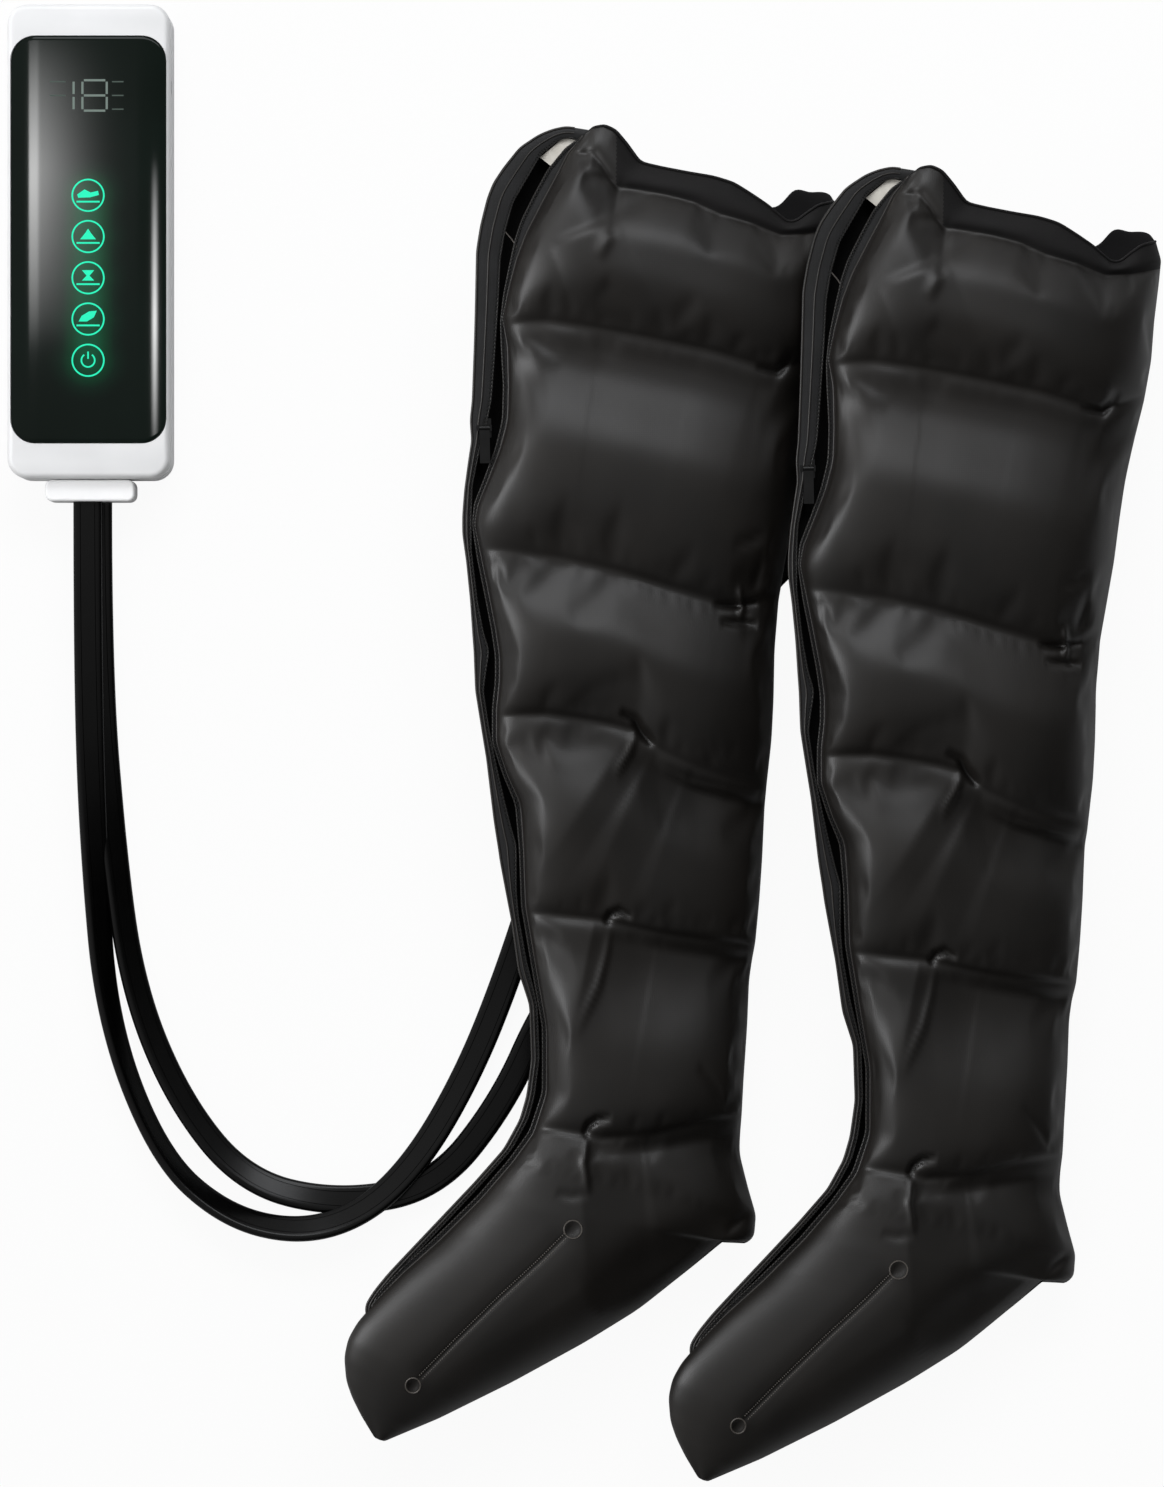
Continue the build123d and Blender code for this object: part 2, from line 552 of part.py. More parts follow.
def air_tubes():
    """The three short rubber tubes between pump, manifold and socket."""
    runs = [(0, MANIFOLD_BACK_Y + FIT, CAP_FRONT_Y - FIT)]
    for side in (-1, 1):
        runs.append((side * PORT_OFFSET_X, SOCKET_BACK_Y + FIT, MANIFOLD_FRONT_Y - FIT))
    tubes = []
    for x, start, end in runs:
        tube = rod(BARB_RADIUS + RUNNING + TUBE_WALL, end - start, x, start, AXIS_HEIGHT)
        tubes.append(tube - rod(BARB_RADIUS + RUNNING, end - start, x, start, AXIS_HEIGHT))
    return Compound(children=tubes)


def seal_start_y():
    """Where the seal groove starts on a nipple, counted from the case's end wall."""
    return CASE_END_Y - PLUG_GAP + NIPPLE_LENGTH - SEAL_FROM_TIP - SEAL_WIDTH


def hose_plug():
    """The plug of the hoses: a body outside the case and two nipples in the socket."""
    face = RectangleRounded(PLUG_WIDTH, PLUG_HEIGHT, PLUG_CORNER)
    body = Pos(0, CASE_END_Y - PLUG_GAP, AXIS_HEIGHT) * Rot(90, 0, 0) * extrude(face, PLUG_DEPTH)
    body = fillet(body.edges().group_by(Axis.Y)[0], PLUG_EDGE_ROUND)
    for side in (-1, 1):
        x = side * PORT_OFFSET_X
        nipple = rod(NIPPLE_RADIUS, NIPPLE_LENGTH, x, CASE_END_Y - PLUG_GAP, AXIS_HEIGHT)
        groove = rod(NIPPLE_RADIUS, SEAL_WIDTH, x, seal_start_y(), AXIS_HEIGHT)
        groove -= rod(NIPPLE_RADIUS - SEAL_DEPTH, SEAL_WIDTH, x, seal_start_y(), AXIS_HEIGHT)
        body += nipple - groove
        body -= rod(NIPPLE_BORE, NIPPLE_LENGTH, x, CASE_END_Y - PLUG_GAP, AXIS_HEIGHT)
    return body


def plug_seals():
    """One rubber ring in the groove of each nipple."""
    rings = []
    for side in (-1, 1):
        x = side * PORT_OFFSET_X
        ring = rod(NIPPLE_RADIUS, SEAL_WIDTH - 2 * RUNNING, x, seal_start_y() + RUNNING, AXIS_HEIGHT)
        groove_radius = NIPPLE_RADIUS - SEAL_DEPTH + RUNNING
        rings.append(ring - rod(groove_radius, SEAL_WIDTH, x, seal_start_y(), AXIS_HEIGHT))
    return Compound(children=rings)


# ---------------------------------------------------------------- boots
def lens(station, width_cut, thickness):
    """An oval across the boot at a station, narrower by width_cut at each side."""
    (front_x, front_y), (back_x, back_y) = station.front, station.back
    run_x = back_x - front_x
    run_y = back_y - front_y
    cut = Plane(origin=((front_x + back_x) / 2, (front_y + back_y) / 2, 0), x_dir=(run_x, run_y, 0),
                z_dir=(-run_y, run_x, 0))
    return cut * Ellipse(hypot(run_x, run_y) / 2 - width_cut, thickness / 2)


def hollow_tube(stations, closed_end=False):
    """A padded tube through the stations, with the room for the leg cut out of it."""
    solid = loft([lens(station, 0, station.thickness) for station in stations])
    room = stations[:-1] if closed_end else stations
    for start in range(0, len(room) - 1, 2):
        span = room[start:start + 3]
        solid -= loft([lens(station, CUFF_WALL, station.gap) for station in span])
    return solid


def offset_points(points, distance):
    """Move each point of an open line sideways, to the left of its direction for a positive distance."""
    moved = []
    for index, (x, y) in enumerate(points):
        before = points[max(index - 1, 0)]
        after = points[min(index + 1, len(points) - 1)]
        run_x = after[0] - before[0]
        run_y = after[1] - before[1]
        length = hypot(run_x, run_y)
        moved.append((x - run_y / length * distance, y + run_x / length * distance))
    return moved


def straight_zip(points_above, points_below, distance):
    """A smooth line above the zip's straight stretch, that stretch, and a smooth line below it."""
    top, bottom = offset_points([ZIP_TOP, ZIP_BOTTOM], distance)
    upper = Spline([*points_above, top])
    lower = Spline([bottom, *points_below])
    return Wire([*upper.edges(), Edge.make_line(top, bottom), *lower.edges()])


def band(outer_wire, inner_wire, bottom, thickness):
    """A flat band between two lines, lifted to its level."""
    start = Edge.make_line(outer_wire @ 0, inner_wire @ 0)
    end = Edge.make_line(outer_wire @ 1, inner_wire @ 1)
    face = Face(Wire([*outer_wire.edges(), end, *inner_wire.edges(), start]))
    if face.normal_at().Z < 0:
        face = -face
    return Pos(0, 0, bottom) * extrude(face, thickness, dir=(0, 0, 1))


ZIP_SIDE = 1          # offsets to the left of the line from rim to toe lie towards the leg


def zip_line(arch_points, inset):
    """The zip side's line: given points down the open flap, then inset from the outer edge."""
    lower = offset_points(OUTER_EDGE_LOWER, ZIP_SIDE * inset)
    return straight_zip(arch_points, lower, ZIP_SIDE * inset)


def outer_line(inset=0.0):
    """The outer edge of the flap and of the far tape."""
    return zip_line(offset_points([*FAR_ARCH_OUTER, FAR_EDGE_BEND], ZIP_SIDE * inset), inset)


def near_line(inset):
    """The free edge of the near tape, or a line inset from it."""
    return zip_line(offset_points(NEAR_EDGE_UPPER, ZIP_SIDE * inset), FAR_TAPE_WIDTH + LANE_WIDTH + inset)


def far_inner_line(inset=0.0):
    """The free edge of the far tape: the flap's inner line above, the zip's lane below."""
    lane_edge = offset_points([FAR_EDGE_BEND, ZIP_TOP], ZIP_SIDE * FAR_TAPE_WIDTH)
    upper = offset_points([*FAR_ARCH_INNER, *lane_edge], -ZIP_SIDE * inset)
    return zip_line(upper[:-1], FAR_TAPE_WIDTH - inset)


def in_zip_plane(shape):
    """Tilt the zip side so that it rises from the toe to the rim."""
    low_y = OUTER_EDGE_LOWER[-1][1]
    rise = degrees(asin(FLAP_RISE / (FAR_ARCH_OUTER[0][1] - low_y)))
    return Pos(0, low_y, 0) * Rot(rise, 0, 0) * Pos(0, -low_y, 0) * shape


def along_zip(shape):
    """Put a shape made along +Y at the origin where the slider starts, along the zip."""
    lane = offset_points([ZIP_TOP, ZIP_BOTTOM], ZIP_SIDE * (FAR_TAPE_WIDTH + LANE_WIDTH / 2))
    turn = degrees(asin((lane[1][0] - lane[0][0]) / hypot(lane[1][0] - lane[0][0], lane[1][1] - lane[0][1])))
    return Pos(lane[0][0], lane[0][1], 0) * Rot(0, 0, turn) * Pos(0, -SLIDER_START, 0) * shape


def cut_by(shape, others):
    """Take each of the other solids away from a shape."""
    for other in others:
        shape = shape - other
    return shape


TAPE_TOP = TAPE_LEVEL + TAPE_THICKNESS
COIL_TOP = TAPE_TOP + COIL_HEIGHT
SLIDER_TOP = COIL_TOP + SOFT_GAP + SLIDER_PLATE
PIVOT_HEIGHT = SLIDER_TOP + EAR_GAP + PULL_PIN_RADIUS + PULL_THICKNESS / 2


def zip_slider():
    """The slider: two plates around the rows of the zip, a bridge in the lane and two ears."""
    slider = block(SLIDER_WIDTH, SLIDER_LENGTH, SLIDER_PLATE, 0, 0, COIL_TOP + SOFT_GAP)
    flange_height = COIL_TOP + SOFT_GAP - TAPE_TOP - SOFT_GAP
    for side in (-1, 1):
        flange_x = side * (SLIDER_WIDTH - SLIDER_FLANGE) / 2
        slider += block(SLIDER_FLANGE, SLIDER_LENGTH, flange_height, flange_x, 0, TAPE_TOP + SOFT_GAP)
    lower_top = TAPE_LEVEL - SOFT_GAP
    slider += block(SLIDER_WIDTH, SLIDER_LENGTH, SLIDER_PLATE, 0, 0, lower_top - SLIDER_PLATE)
    bridge_y = (SLIDER_LENGTH - BRIDGE_LENGTH) / 2
    slider += block(BRIDGE_WIDTH, BRIDGE_LENGTH, COIL_TOP + SOFT_GAP - lower_top, 0, bridge_y, lower_top)
    ear_height = PIVOT_HEIGHT + PULL_PIN_RADIUS - SLIDER_TOP
    for side in (-1, 1):
        ear_x = side * (PULL_WIDTH / 2 + EAR_GAP + EAR_WIDTH / 2)
        slider += block(EAR_WIDTH, EAR_LENGTH, ear_height, ear_x, 0, SLIDER_TOP)
    pin_length = PULL_WIDTH + 2 * EAR_GAP + EAR_WIDTH
    pin = Pos(0, 0, PIVOT_HEIGHT) * Rot(0, 90, 0) * Cylinder(PULL_PIN_RADIUS, pin_length)
    return slider + pin


def zip_pull():
    """The pull tab on the slider's pin, lying down the zip."""
    eye_radius = PULL_PIN_RADIUS + RUNNING + PULL_THICKNESS / 2
    bottom = PIVOT_HEIGHT - PULL_THICKNESS / 2
    tab = block(PULL_WIDTH, PULL_LENGTH, PULL_THICKNESS, 0, -PULL_LENGTH / 2, bottom)
    eye = Pos(0, 0, PIVOT_HEIGHT) * Rot(0, 90, 0) * Cylinder(eye_radius, PULL_WIDTH)
    pin = Pos(0, 0, PIVOT_HEIGHT) * Rot(0, 90, 0) * Cylinder(PULL_PIN_RADIUS + RUNNING, PULL_WIDTH)
    return tab + eye - pin


def boot_solids():
    """All pieces of one boot but its inlet, in the plane of the boot."""
    pieces = {name: hollow_tube(stations, closed_end=stations[-1] is TOE)
              for name, stations in CHAMBERS.items()}
    pieces["cuff_hem"] = hollow_tube((RIM, HEM))
    padded = list(pieces.values())

    gusset = band(outer_line(), near_line(GUSSET_LAP), GUSSET_LEVEL, GUSSET_THICKNESS)
    pieces["front_gusset"] = cut_by(in_zip_plane(gusset), padded)
    far_tape = band(outer_line(), far_inner_line(), TAPE_LEVEL, TAPE_THICKNESS)
    fold_bottom = GUSSET_LEVEL + GUSSET_THICKNESS
    fold_height = TAPE_LEVEL + TAPE_THICKNESS / 2 - fold_bottom
    far_tape += band(outer_line(FOLD_INSET), outer_line(TAPE_FOLD), fold_bottom, fold_height)
    pieces["far_zip_tape"] = in_zip_plane(far_tape)
    near_tape = band(near_line(0), near_line(NEAR_TAPE_WIDTH), TAPE_LEVEL, TAPE_THICKNESS)
    pieces["near_zip_tape"] = cut_by(in_zip_plane(near_tape), padded)
    near_row = band(near_line(0), near_line(COIL_WIDTH), TAPE_TOP, COIL_HEIGHT)
    far_row = band(far_inner_line(COIL_WIDTH), far_inner_line(), TAPE_TOP, COIL_HEIGHT)
    pieces["zip_coil"] = Compound(children=[in_zip_plane(near_row), in_zip_plane(far_row)])
    pieces["zip_slider"] = in_zip_plane(along_zip(zip_slider()))
    pieces["zip_pull"] = in_zip_plane(along_zip(zip_pull()))
    label = extrude(make_face(Polyline(*LABEL_CORNERS, close=True)), LABEL_THICKNESS, dir=(0, 0, 1))
    pieces["size_label"] = in_zip_plane(Pos(0, 0, fold_bottom) * label)
    return pieces


def boot_placing(pieces):
    """The left boot's place: tilted, and lifted until its lowest chamber meets the floor."""
    tilt = Pos(BOOT_ORIGIN_X, BOOT_ORIGIN_Y, 0) * Rot(BOOT_PITCH, BOOT_ROLL, 0)
    lowest = min((tilt * pieces[name]).bounding_box().min.Z for name in CHAMBERS)
    return Pos(0, 0, -lowest) * tilt


def inlet_frame():
    """The left boot's hose inlet on the floor, turned along the hose's last run."""
    return Pos(INLET_X, INLET_Y, 0) * Rot(0, 0, -INLET_ANGLE)


def hose_inlet(thigh_chamber):
    """The inlet block under the thigh and its riser, cut to the chamber that it feeds."""
    body = block(INLET_WIDTH, INLET_LENGTH, INLET_HEIGHT, 0, 0, INLET_BOTTOM)
    riser_height = thigh_chamber.bounding_box().max.Z / 2
    riser = post(INLET_RISER_RADIUS, riser_height, 0, 0, INLET_BOTTOM + INLET_HEIGHT)
    trimmed = inlet_frame() * (body + riser) - thigh_chamber
    return trimmed.solids().sort_by(Axis.Z)[0]


# ---------------------------------------------------------------- hoses
def plug_lead(start, lift):
    """The straight first run of a hose, from the back of the plug to its start point."""
    start_x, start_y = start
    plug_back_y = CASE_Y + CASE_END_Y - PLUG_GAP - PLUG_DEPTH
    height = AXIS_HEIGHT + lift * HOSE_STACK / 2
    return [(start_x, plug_back_y, height), (start_x, start_y, height)]


def inlet_lead(step_x, step_y):
    """The straight last run of a hose, into the inlet of a boot."""
    height = INLET_BOTTOM + INLET_HEIGHT / 2
    ends = []
    for distance in (INLET_LENGTH / 2 + INLET_LEAD, INLET_LENGTH / 2):
        place = (inlet_frame() * Pos(0, -distance, 0)).position
        ends.append((place.X + step_x, place.Y + step_y, height))
    return ends


def hose_radii(points):
    """The arc at each inner point: a share of the shorter run, over the tangent of half the turn."""
    radii = []
    for before, here, after in zip(points, points[1:], points[2:]):
        arrive = Vector(*here) - Vector(*before)
        leave = Vector(*after) - Vector(*here)
        turn = radians(arrive.get_angle(leave))
        radii.append(ARC_SHARE * min(arrive.length, leave.length) / tan(turn / 2))
    return radii


def hose(name, points):
    """A flat hose along its points, lying on its broad side."""
    radii = hose_radii(points)
    path = FilletPolyline(*points, radius=radii)
    heading = path % 0
    side = heading.cross(Vector(0, 0, 1))
    start = Plane(origin=path @ 0, x_dir=side, z_dir=heading)
    section = start * RectangleRounded(HOSE_WIDTH, HOSE_THICKNESS, HOSE_EDGE_ROUND)
    solid = sweep(section, path=Wire(path.edges()))
    share = solid.volume / (section.area * path.length)
    print(name, "length", round(path.length, 1), "volume share", round(share, 4))
    print(name, "radii", [round(radius, 1) for radius in radii])
    return solid


# ---------------------------------------------------------------- the whole object
def controller_nodes():
    """Every piece of the controller and the plug, in place."""
    nodes = {
        "rear_housing": rear_housing(), "front_housing": front_housing(), "glass_panel": glass_panel(),
        "touch_board": touch_board(), "display_module": display_module(),
        "icon_light_guides": icon_light_guides(), "housing_screws": housing_screws(),
        "rubber_feet": rubber_feet(), "battery_pack": battery_pack(), "main_board": main_board(),
        "buzzer": buzzer(), "charging_port": charging_port(), "pump_motor": pump_motor(),
        "motor_bracket": motor_bracket(), "motor_shaft": motor_shaft(), "pump_body": pump_body(),
        "rocker_plate": rocker_plate(), "diaphragm": diaphragm(), "pump_cap": pump_cap(),
        "valve_manifold": valve_manifold(), "valve_coils": valve_coils(),
        "left_valve_plunger": valve_plunger(-1), "right_valve_plunger": valve_plunger(1),
        "air_socket": air_socket(), "air_tubes": air_tubes(), "hose_plug": hose_plug(),
        "plug_seals": plug_seals(),
    }
    return {name: Pos(CASE_X, CASE_Y, 0) * shape for name, shape in nodes.items()}


def boot_nodes():
    """Both boots: the right one is the left one moved sideways."""
    pieces = boot_solids()
    placing = boot_placing(pieces)
    placed = {name: placing * shape for name, shape in pieces.items()}
    placed["hose_inlet"] = hose_inlet(placed["chamber_2_lower_thigh"])
    nodes = {f"left_{name}": shape for name, shape in placed.items()}
    for name, shape in placed.items():
        nodes[f"right_{name}"] = Pos(BOOT_STEP_X, BOOT_STEP_Y, 0) * shape
    return nodes


def left_hose_points():
    """The whole route of the left boot's hose."""
    return [*plug_lead(LEFT_HOSE_START, 1), *LEFT_HOSE_ROUTE, *inlet_lead(0, 0)]


def right_hose_points():
    """The whole route of the right boot's hose."""
    return [*plug_lead(RIGHT_HOSE_START, -1), *RIGHT_HOSE_ROUTE, *inlet_lead(BOOT_STEP_X, BOOT_STEP_Y)]


def hose_nodes():
    """Both hoses, from the plug to the inlet of their boot."""
    return {
        "left_hose": hose("left_hose", left_hose_points()),
        "right_hose": hose("right_hose", right_hose_points()),
    }


def main():
    """Write one STEP file for each node."""
    os.makedirs("parts", exist_ok=True)
    nodes = {**controller_nodes(), **boot_nodes(), **hose_nodes()}
    for name, shape in nodes.items():
        export_step(shape, f"parts/{name}.step")
    print(len(nodes), "nodes")


if __name__ == "__main__":
    main()
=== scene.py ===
"""Compression therapy pump laid flat: a hand controller, two flat hoses and two zipped leg boots."""

import logging
import math
from dataclasses import dataclass, field
from enum import Enum

import bpy
import numpy as np
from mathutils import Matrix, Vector


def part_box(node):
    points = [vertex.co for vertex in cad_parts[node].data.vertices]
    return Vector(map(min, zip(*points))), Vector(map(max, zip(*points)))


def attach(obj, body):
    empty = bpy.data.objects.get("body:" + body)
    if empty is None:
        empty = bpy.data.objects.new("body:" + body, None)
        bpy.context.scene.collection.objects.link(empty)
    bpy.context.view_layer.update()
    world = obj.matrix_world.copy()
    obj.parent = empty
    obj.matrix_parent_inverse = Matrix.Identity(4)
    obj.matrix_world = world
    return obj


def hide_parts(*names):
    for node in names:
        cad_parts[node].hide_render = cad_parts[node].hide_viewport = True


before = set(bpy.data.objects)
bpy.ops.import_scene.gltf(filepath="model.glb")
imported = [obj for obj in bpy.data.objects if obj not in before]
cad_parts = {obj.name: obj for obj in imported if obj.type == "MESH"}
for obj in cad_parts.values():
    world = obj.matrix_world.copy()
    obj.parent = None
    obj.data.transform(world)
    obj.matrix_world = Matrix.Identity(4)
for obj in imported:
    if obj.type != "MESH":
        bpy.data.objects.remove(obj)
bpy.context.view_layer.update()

logging.basicConfig(level=logging.INFO, format="%(message)s")
log = logging.getLogger("pump")

MM = 0.001
Point = tuple[float, float]
Triple = tuple[float, float, float]
Line = list[Point]
Object = bpy.types.Object
Material = bpy.types.Material
Tree = bpy.types.NodeTree
Socket = bpy.types.NodeSocket
# A piece with its material slot and the CAD nodes that it replaces.
Piece = tuple[Object, str, tuple[str, ...]]

# The drawing sheet: one unit is 0.69 mm at the boots' middle height, x to the right and y down.
SHEET_UNIT = 0.69
SHEET_LEVEL = 50.0
SHEET_ORIGIN = (582.0, 743.0)
# The eye's height above the boots' middle, in millimetres: points higher up look larger from there.
EYE_DISTANCE = 3420.0
# From the left boot to the right one, in sheet units.
BOOT_STEP = (322.0, 40.0)


class Side(Enum):
    """One of the two boots; the value begins the names of its pieces."""

    LEFT = "left"
    RIGHT = "right"


class Ride(Enum):
    """The bodies that pieces ride on."""

    BOOTS = "boots_and_hoses"
    CONTROLLER = "controller"


# ------------------------------------------------------------------ numbers and lines
def linear(code: str) -> tuple[float, float, float, float]:
    """Turn an sRGB hex code into a linear colour.

    Args:
        code: six hex digits, with or without a leading #.

    Returns:
        Red, green, blue and an alpha of 1, linear.
    """
    digits = code.lstrip("#")
    parts = [int(digits[i:i + 2], 16) / 255 for i in (0, 2, 4)]
    low = [p / 12.92 if p <= 0.04045 else ((p + 0.055) / 1.055) ** 2.4 for p in parts]
    return (low[0], low[1], low[2], 1.0)


def place(points: np.ndarray, heights: np.ndarray) -> np.ndarray:
    """Put sheet points at their heights into the frame.

    Args:
        points: sheet points, shape (..., 2).
        heights: heights above the floor in millimetres, shape (...).

    Returns:
        Frame points in metres, shape (..., 3).
    """
    unit = SHEET_UNIT * (1 + (SHEET_LEVEL - heights) / EYE_DISTANCE)
    east = (points[..., 0] - SHEET_ORIGIN[0]) * unit
    north = (SHEET_ORIGIN[1] - points[..., 1]) * unit
    return np.stack([east, north, heights], axis=-1) * MM


def interpolated(at: np.ndarray, knots: np.ndarray, points: np.ndarray) -> np.ndarray:
    """Read a line's points at places between its knots."""
    return np.stack([np.interp(at, knots, points[:, axis]) for axis in (0, 1)], axis=1)


def averaged(values: np.ndarray, count: int) -> np.ndarray:
    """Moving average over an odd count of values, with the ends held."""
    return np.convolve(np.pad(values, count // 2, mode="edge"), np.ones(count) / count, mode="valid")


def resample(line: Line, count: int, start: float = 0.0, end: float = 1.0) -> np.ndarray:
    """Spread points evenly along a part of a polyline.

    Args:
        line: the polyline.
        count: how many points.
        start: where the part begins, as a share of the length.
        end: where it ends.

    Returns:
        The points, shape (count, 2).
    """
    pts = np.array(line, float)
    run = np.concatenate([[0], np.cumsum(np.hypot(*np.diff(pts, axis=0).T))])
    return interpolated(np.linspace(start, end, count) * run[-1], run, pts)


def smoothed(points: np.ndarray, rounds: int = 2) -> np.ndarray:
    """Soften a sampled line but keep its ends."""
    out = points.copy()
    for _ in range(rounds):
        out[1:-1] = 0.25 * out[:-2] + 0.5 * out[1:-1] + 0.25 * out[2:]
    return out


def between(values: list, first: int, index: int, step: float) -> object:
    """Smooth curve through a row of values, numbers or arrays, between two of them.

    Args:
        values: the row.
        first: the lowest value that the curve may use.
        index: the value before the wanted place.
        step: share of the way to the next value.

    Returns:
        The value there.
    """
    a, b = values[max(index - 1, first)], values[index]
    c, d = values[index + 1], values[min(index + 2, len(values) - 1)]
    return 0.5 * (2 * b + (c - a) * step + (2 * a - 5 * b + 4 * c - d) * step ** 2
                  + (3 * b - a - 3 * c + d) * step ** 3)


def nearest_share(line: Line, point: Point) -> float:
    """Find where along a line it comes nearest to a point, as a share of its length."""
    pts = resample(line, 2000)
    gap = np.hypot(pts[:, 0] - point[0], pts[:, 1] - point[1])
    return float(np.argmin(gap)) / (len(pts) - 1)


def matched(line: np.ndarray, other: Line) -> np.ndarray:
    """For each point of a sampled line find its partner on another line, always further on.

    Args:
        line: sampled points.
        other: the other line.

    Returns:
        As many points on the other line.
    """
    fine = resample(other, 1600)
    gap = np.hypot(line[:, None, 0] - fine[None, :, 0], line[:, None, 1] - fine[None, :, 1])
    index = np.maximum.accumulate(np.argmin(gap, axis=1)).astype(float)
    return interpolated(averaged(index, 9), np.arange(len(fine)), fine)


def directions(path: np.ndarray) -> tuple[np.ndarray, np.ndarray, np.ndarray]:
    """Unit directions along a path, beside it and above it, at each of its points."""
    run = np.gradient(path, axis=0)
    run /= np.linalg.norm(run, axis=1)[:, None]
    side = np.cross(run, (0.0, 0.0, 1.0))
    side /= np.linalg.norm(side, axis=1)[:, None]
    return run, side, np.cross(side, run)


def segment_distance(points: np.ndarray, line: Line) -> tuple[np.ndarray, np.ndarray, np.ndarray]:
    """Measure points against a polyline.

    Args:
        points: sheet points, shape (n, 2).
        line: the polyline.

    Returns:
        For each point its distance, which side it lies on (-1 or 1) and its share along the line.
    """
    best = np.full(len(points), 1e9)
    side = np.ones(len(points))
    share = np.zeros(len(points))
    pts = np.array(line, float)
    lengths = np.hypot(*np.diff(pts, axis=0).T)
    total = lengths.sum()
    done = 0.0
    for start, end, length in zip(pts[:-1], pts[1:], lengths):
        run = (end - start) / length
        rel = points - start
        along = np.clip(rel @ run, 0, length)
        off = rel - along[:, None] * run
        gap = np.hypot(off[:, 0], off[:, 1])
        near = gap < best
        best = np.where(near, gap, best)
        side = np.where(near, np.sign(rel[:, 0] * run[1] - rel[:, 1] * run[0]), side)
        share = np.where(near, (done + along) / total, share)
        done += length
    return best, side, share


# ------------------------------------------------------------------ Blender helpers
def deselect() -> None:
    """Leave nothing selected, so that an operator acts on the new piece alone."""
    bpy.ops.object.select_all(action="DESELECT")


def new_mesh(name: str, points: np.ndarray, faces: list) -> Object:
    """Make a mesh object with its place in its vertices.

    Args:
        name: the piece's name.
        points: frame points in metres.
        faces: tuples of point numbers.

    Returns:
        The linked object.
    """
    mesh = bpy.data.meshes.new(name)
    mesh.from_pydata([tuple(p) for p in points], [], faces)
    mesh.validate()
    obj = bpy.data.objects.new(name, mesh)
    bpy.context.scene.collection.objects.link(obj)
    return obj


def activate(obj: Object) -> None:
    """Make one object the only selected and active one."""
    deselect()
    obj.select_set(True)
    bpy.context.view_layer.objects.active = obj


def outward(obj: Object) -> None:
    """Merge doubles and point all faces outwards."""
    activate(obj)
    bpy.ops.object.mode_set(mode="EDIT")
    bpy.ops.mesh.select_all(action="SELECT")
    bpy.ops.mesh.remove_doubles(threshold=0.00001)
    bpy.ops.mesh.normals_make_consistent(inside=False)
    bpy.ops.object.mode_set(mode="OBJECT")


def smooth(obj: Object, angle: float = 40.0) -> None:
    """Shade smooth up to an angle in degrees."""
    activate(obj)
    bpy.ops.object.shade_smooth_by_angle(angle=math.radians(angle))


def modifier(obj: Object, kind: str, **settings: object) -> None:
    """Add a modifier with settings and apply it."""
    activate(obj)
    mod = obj.modifiers.new(kind.lower(), kind)
    for key, value in settings.items():
        setattr(mod, key, value)
    bpy.ops.object.modifier_apply(modifier=mod.name)


def coords(obj: Object) -> np.ndarray:
    """Read an object's vertices, in metres."""
    out = np.empty(len(obj.data.vertices) * 3)
    obj.data.vertices.foreach_get("co", out)
    return out.reshape(-1, 3)


def set_coords(obj: Object, points: np.ndarray) -> None:
    """Write an object's vertices, in metres."""
    obj.data.vertices.foreach_set("co", points.astype(np.float32).ravel())
    obj.data.update()


def dress(obj: Object, material: Material) -> None:
    """Give an object one material."""
    obj.data.materials.clear()
    obj.data.materials.append(material)


def finished(name: str, points: np.ndarray, faces: list, angle: float) -> Object:
    """Make a mesh object with outward faces, shaded smooth up to an angle in degrees."""
    obj = new_mesh(name, points, faces)
    outward(obj)
    smooth(obj, angle)
    return obj


def joined(parts: list[Object], material: Material) -> Object:
    """Join pieces into the first one and give it a material."""
    activate(parts[0])
    for part in parts:
        part.select_set(True)
    bpy.ops.object.join()
    dress(parts[0], material)
    return parts[0]


def ring_quads(rings: int, around: int) -> list[tuple[int, ...]]:
    """Quads between rings of points that follow each other."""
    return [(r * around + c, r * around + (c + 1) % around, (r + 1) * around + (c + 1) % around,
             (r + 1) * around + c) for r in range(rings - 1) for c in range(around)]


def tube_faces(rings: int, around: int) -> list[tuple[int, ...]]:
    """Faces of a closed tube: the quads between its rings and a cap at each end."""
    last = (rings - 1) * around
    caps = [tuple(range(around)), tuple(last + c for c in range(around - 1, -1, -1))]
    return ring_quads(rings, around) + caps


def slab_faces(across: int, along: int) -> list[tuple[int, ...]]:
    """Faces of a slab: a grid of points, the same grid below it, and the edge between them."""
    size = across * along
    faces = []
    for j in range(along - 1):
        for i in range(across - 1):
            k = j * across + i
            faces.append((k, k + 1, k + across + 1, k + across))
            faces.append((k + size, k + size + across, k + size + across + 1, k + size + 1))
    ring = ([*range(across)] + [across * (j + 1) - 1 for j in range(1, along)]
            + [size - 1 - i for i in range(1, across)] + [across * j for j in range(along - 2, 0, -1)])
    faces += [(a, a + size, b + size, b) for a, b in zip(ring, ring[1:] + ring[:1])]
    return faces


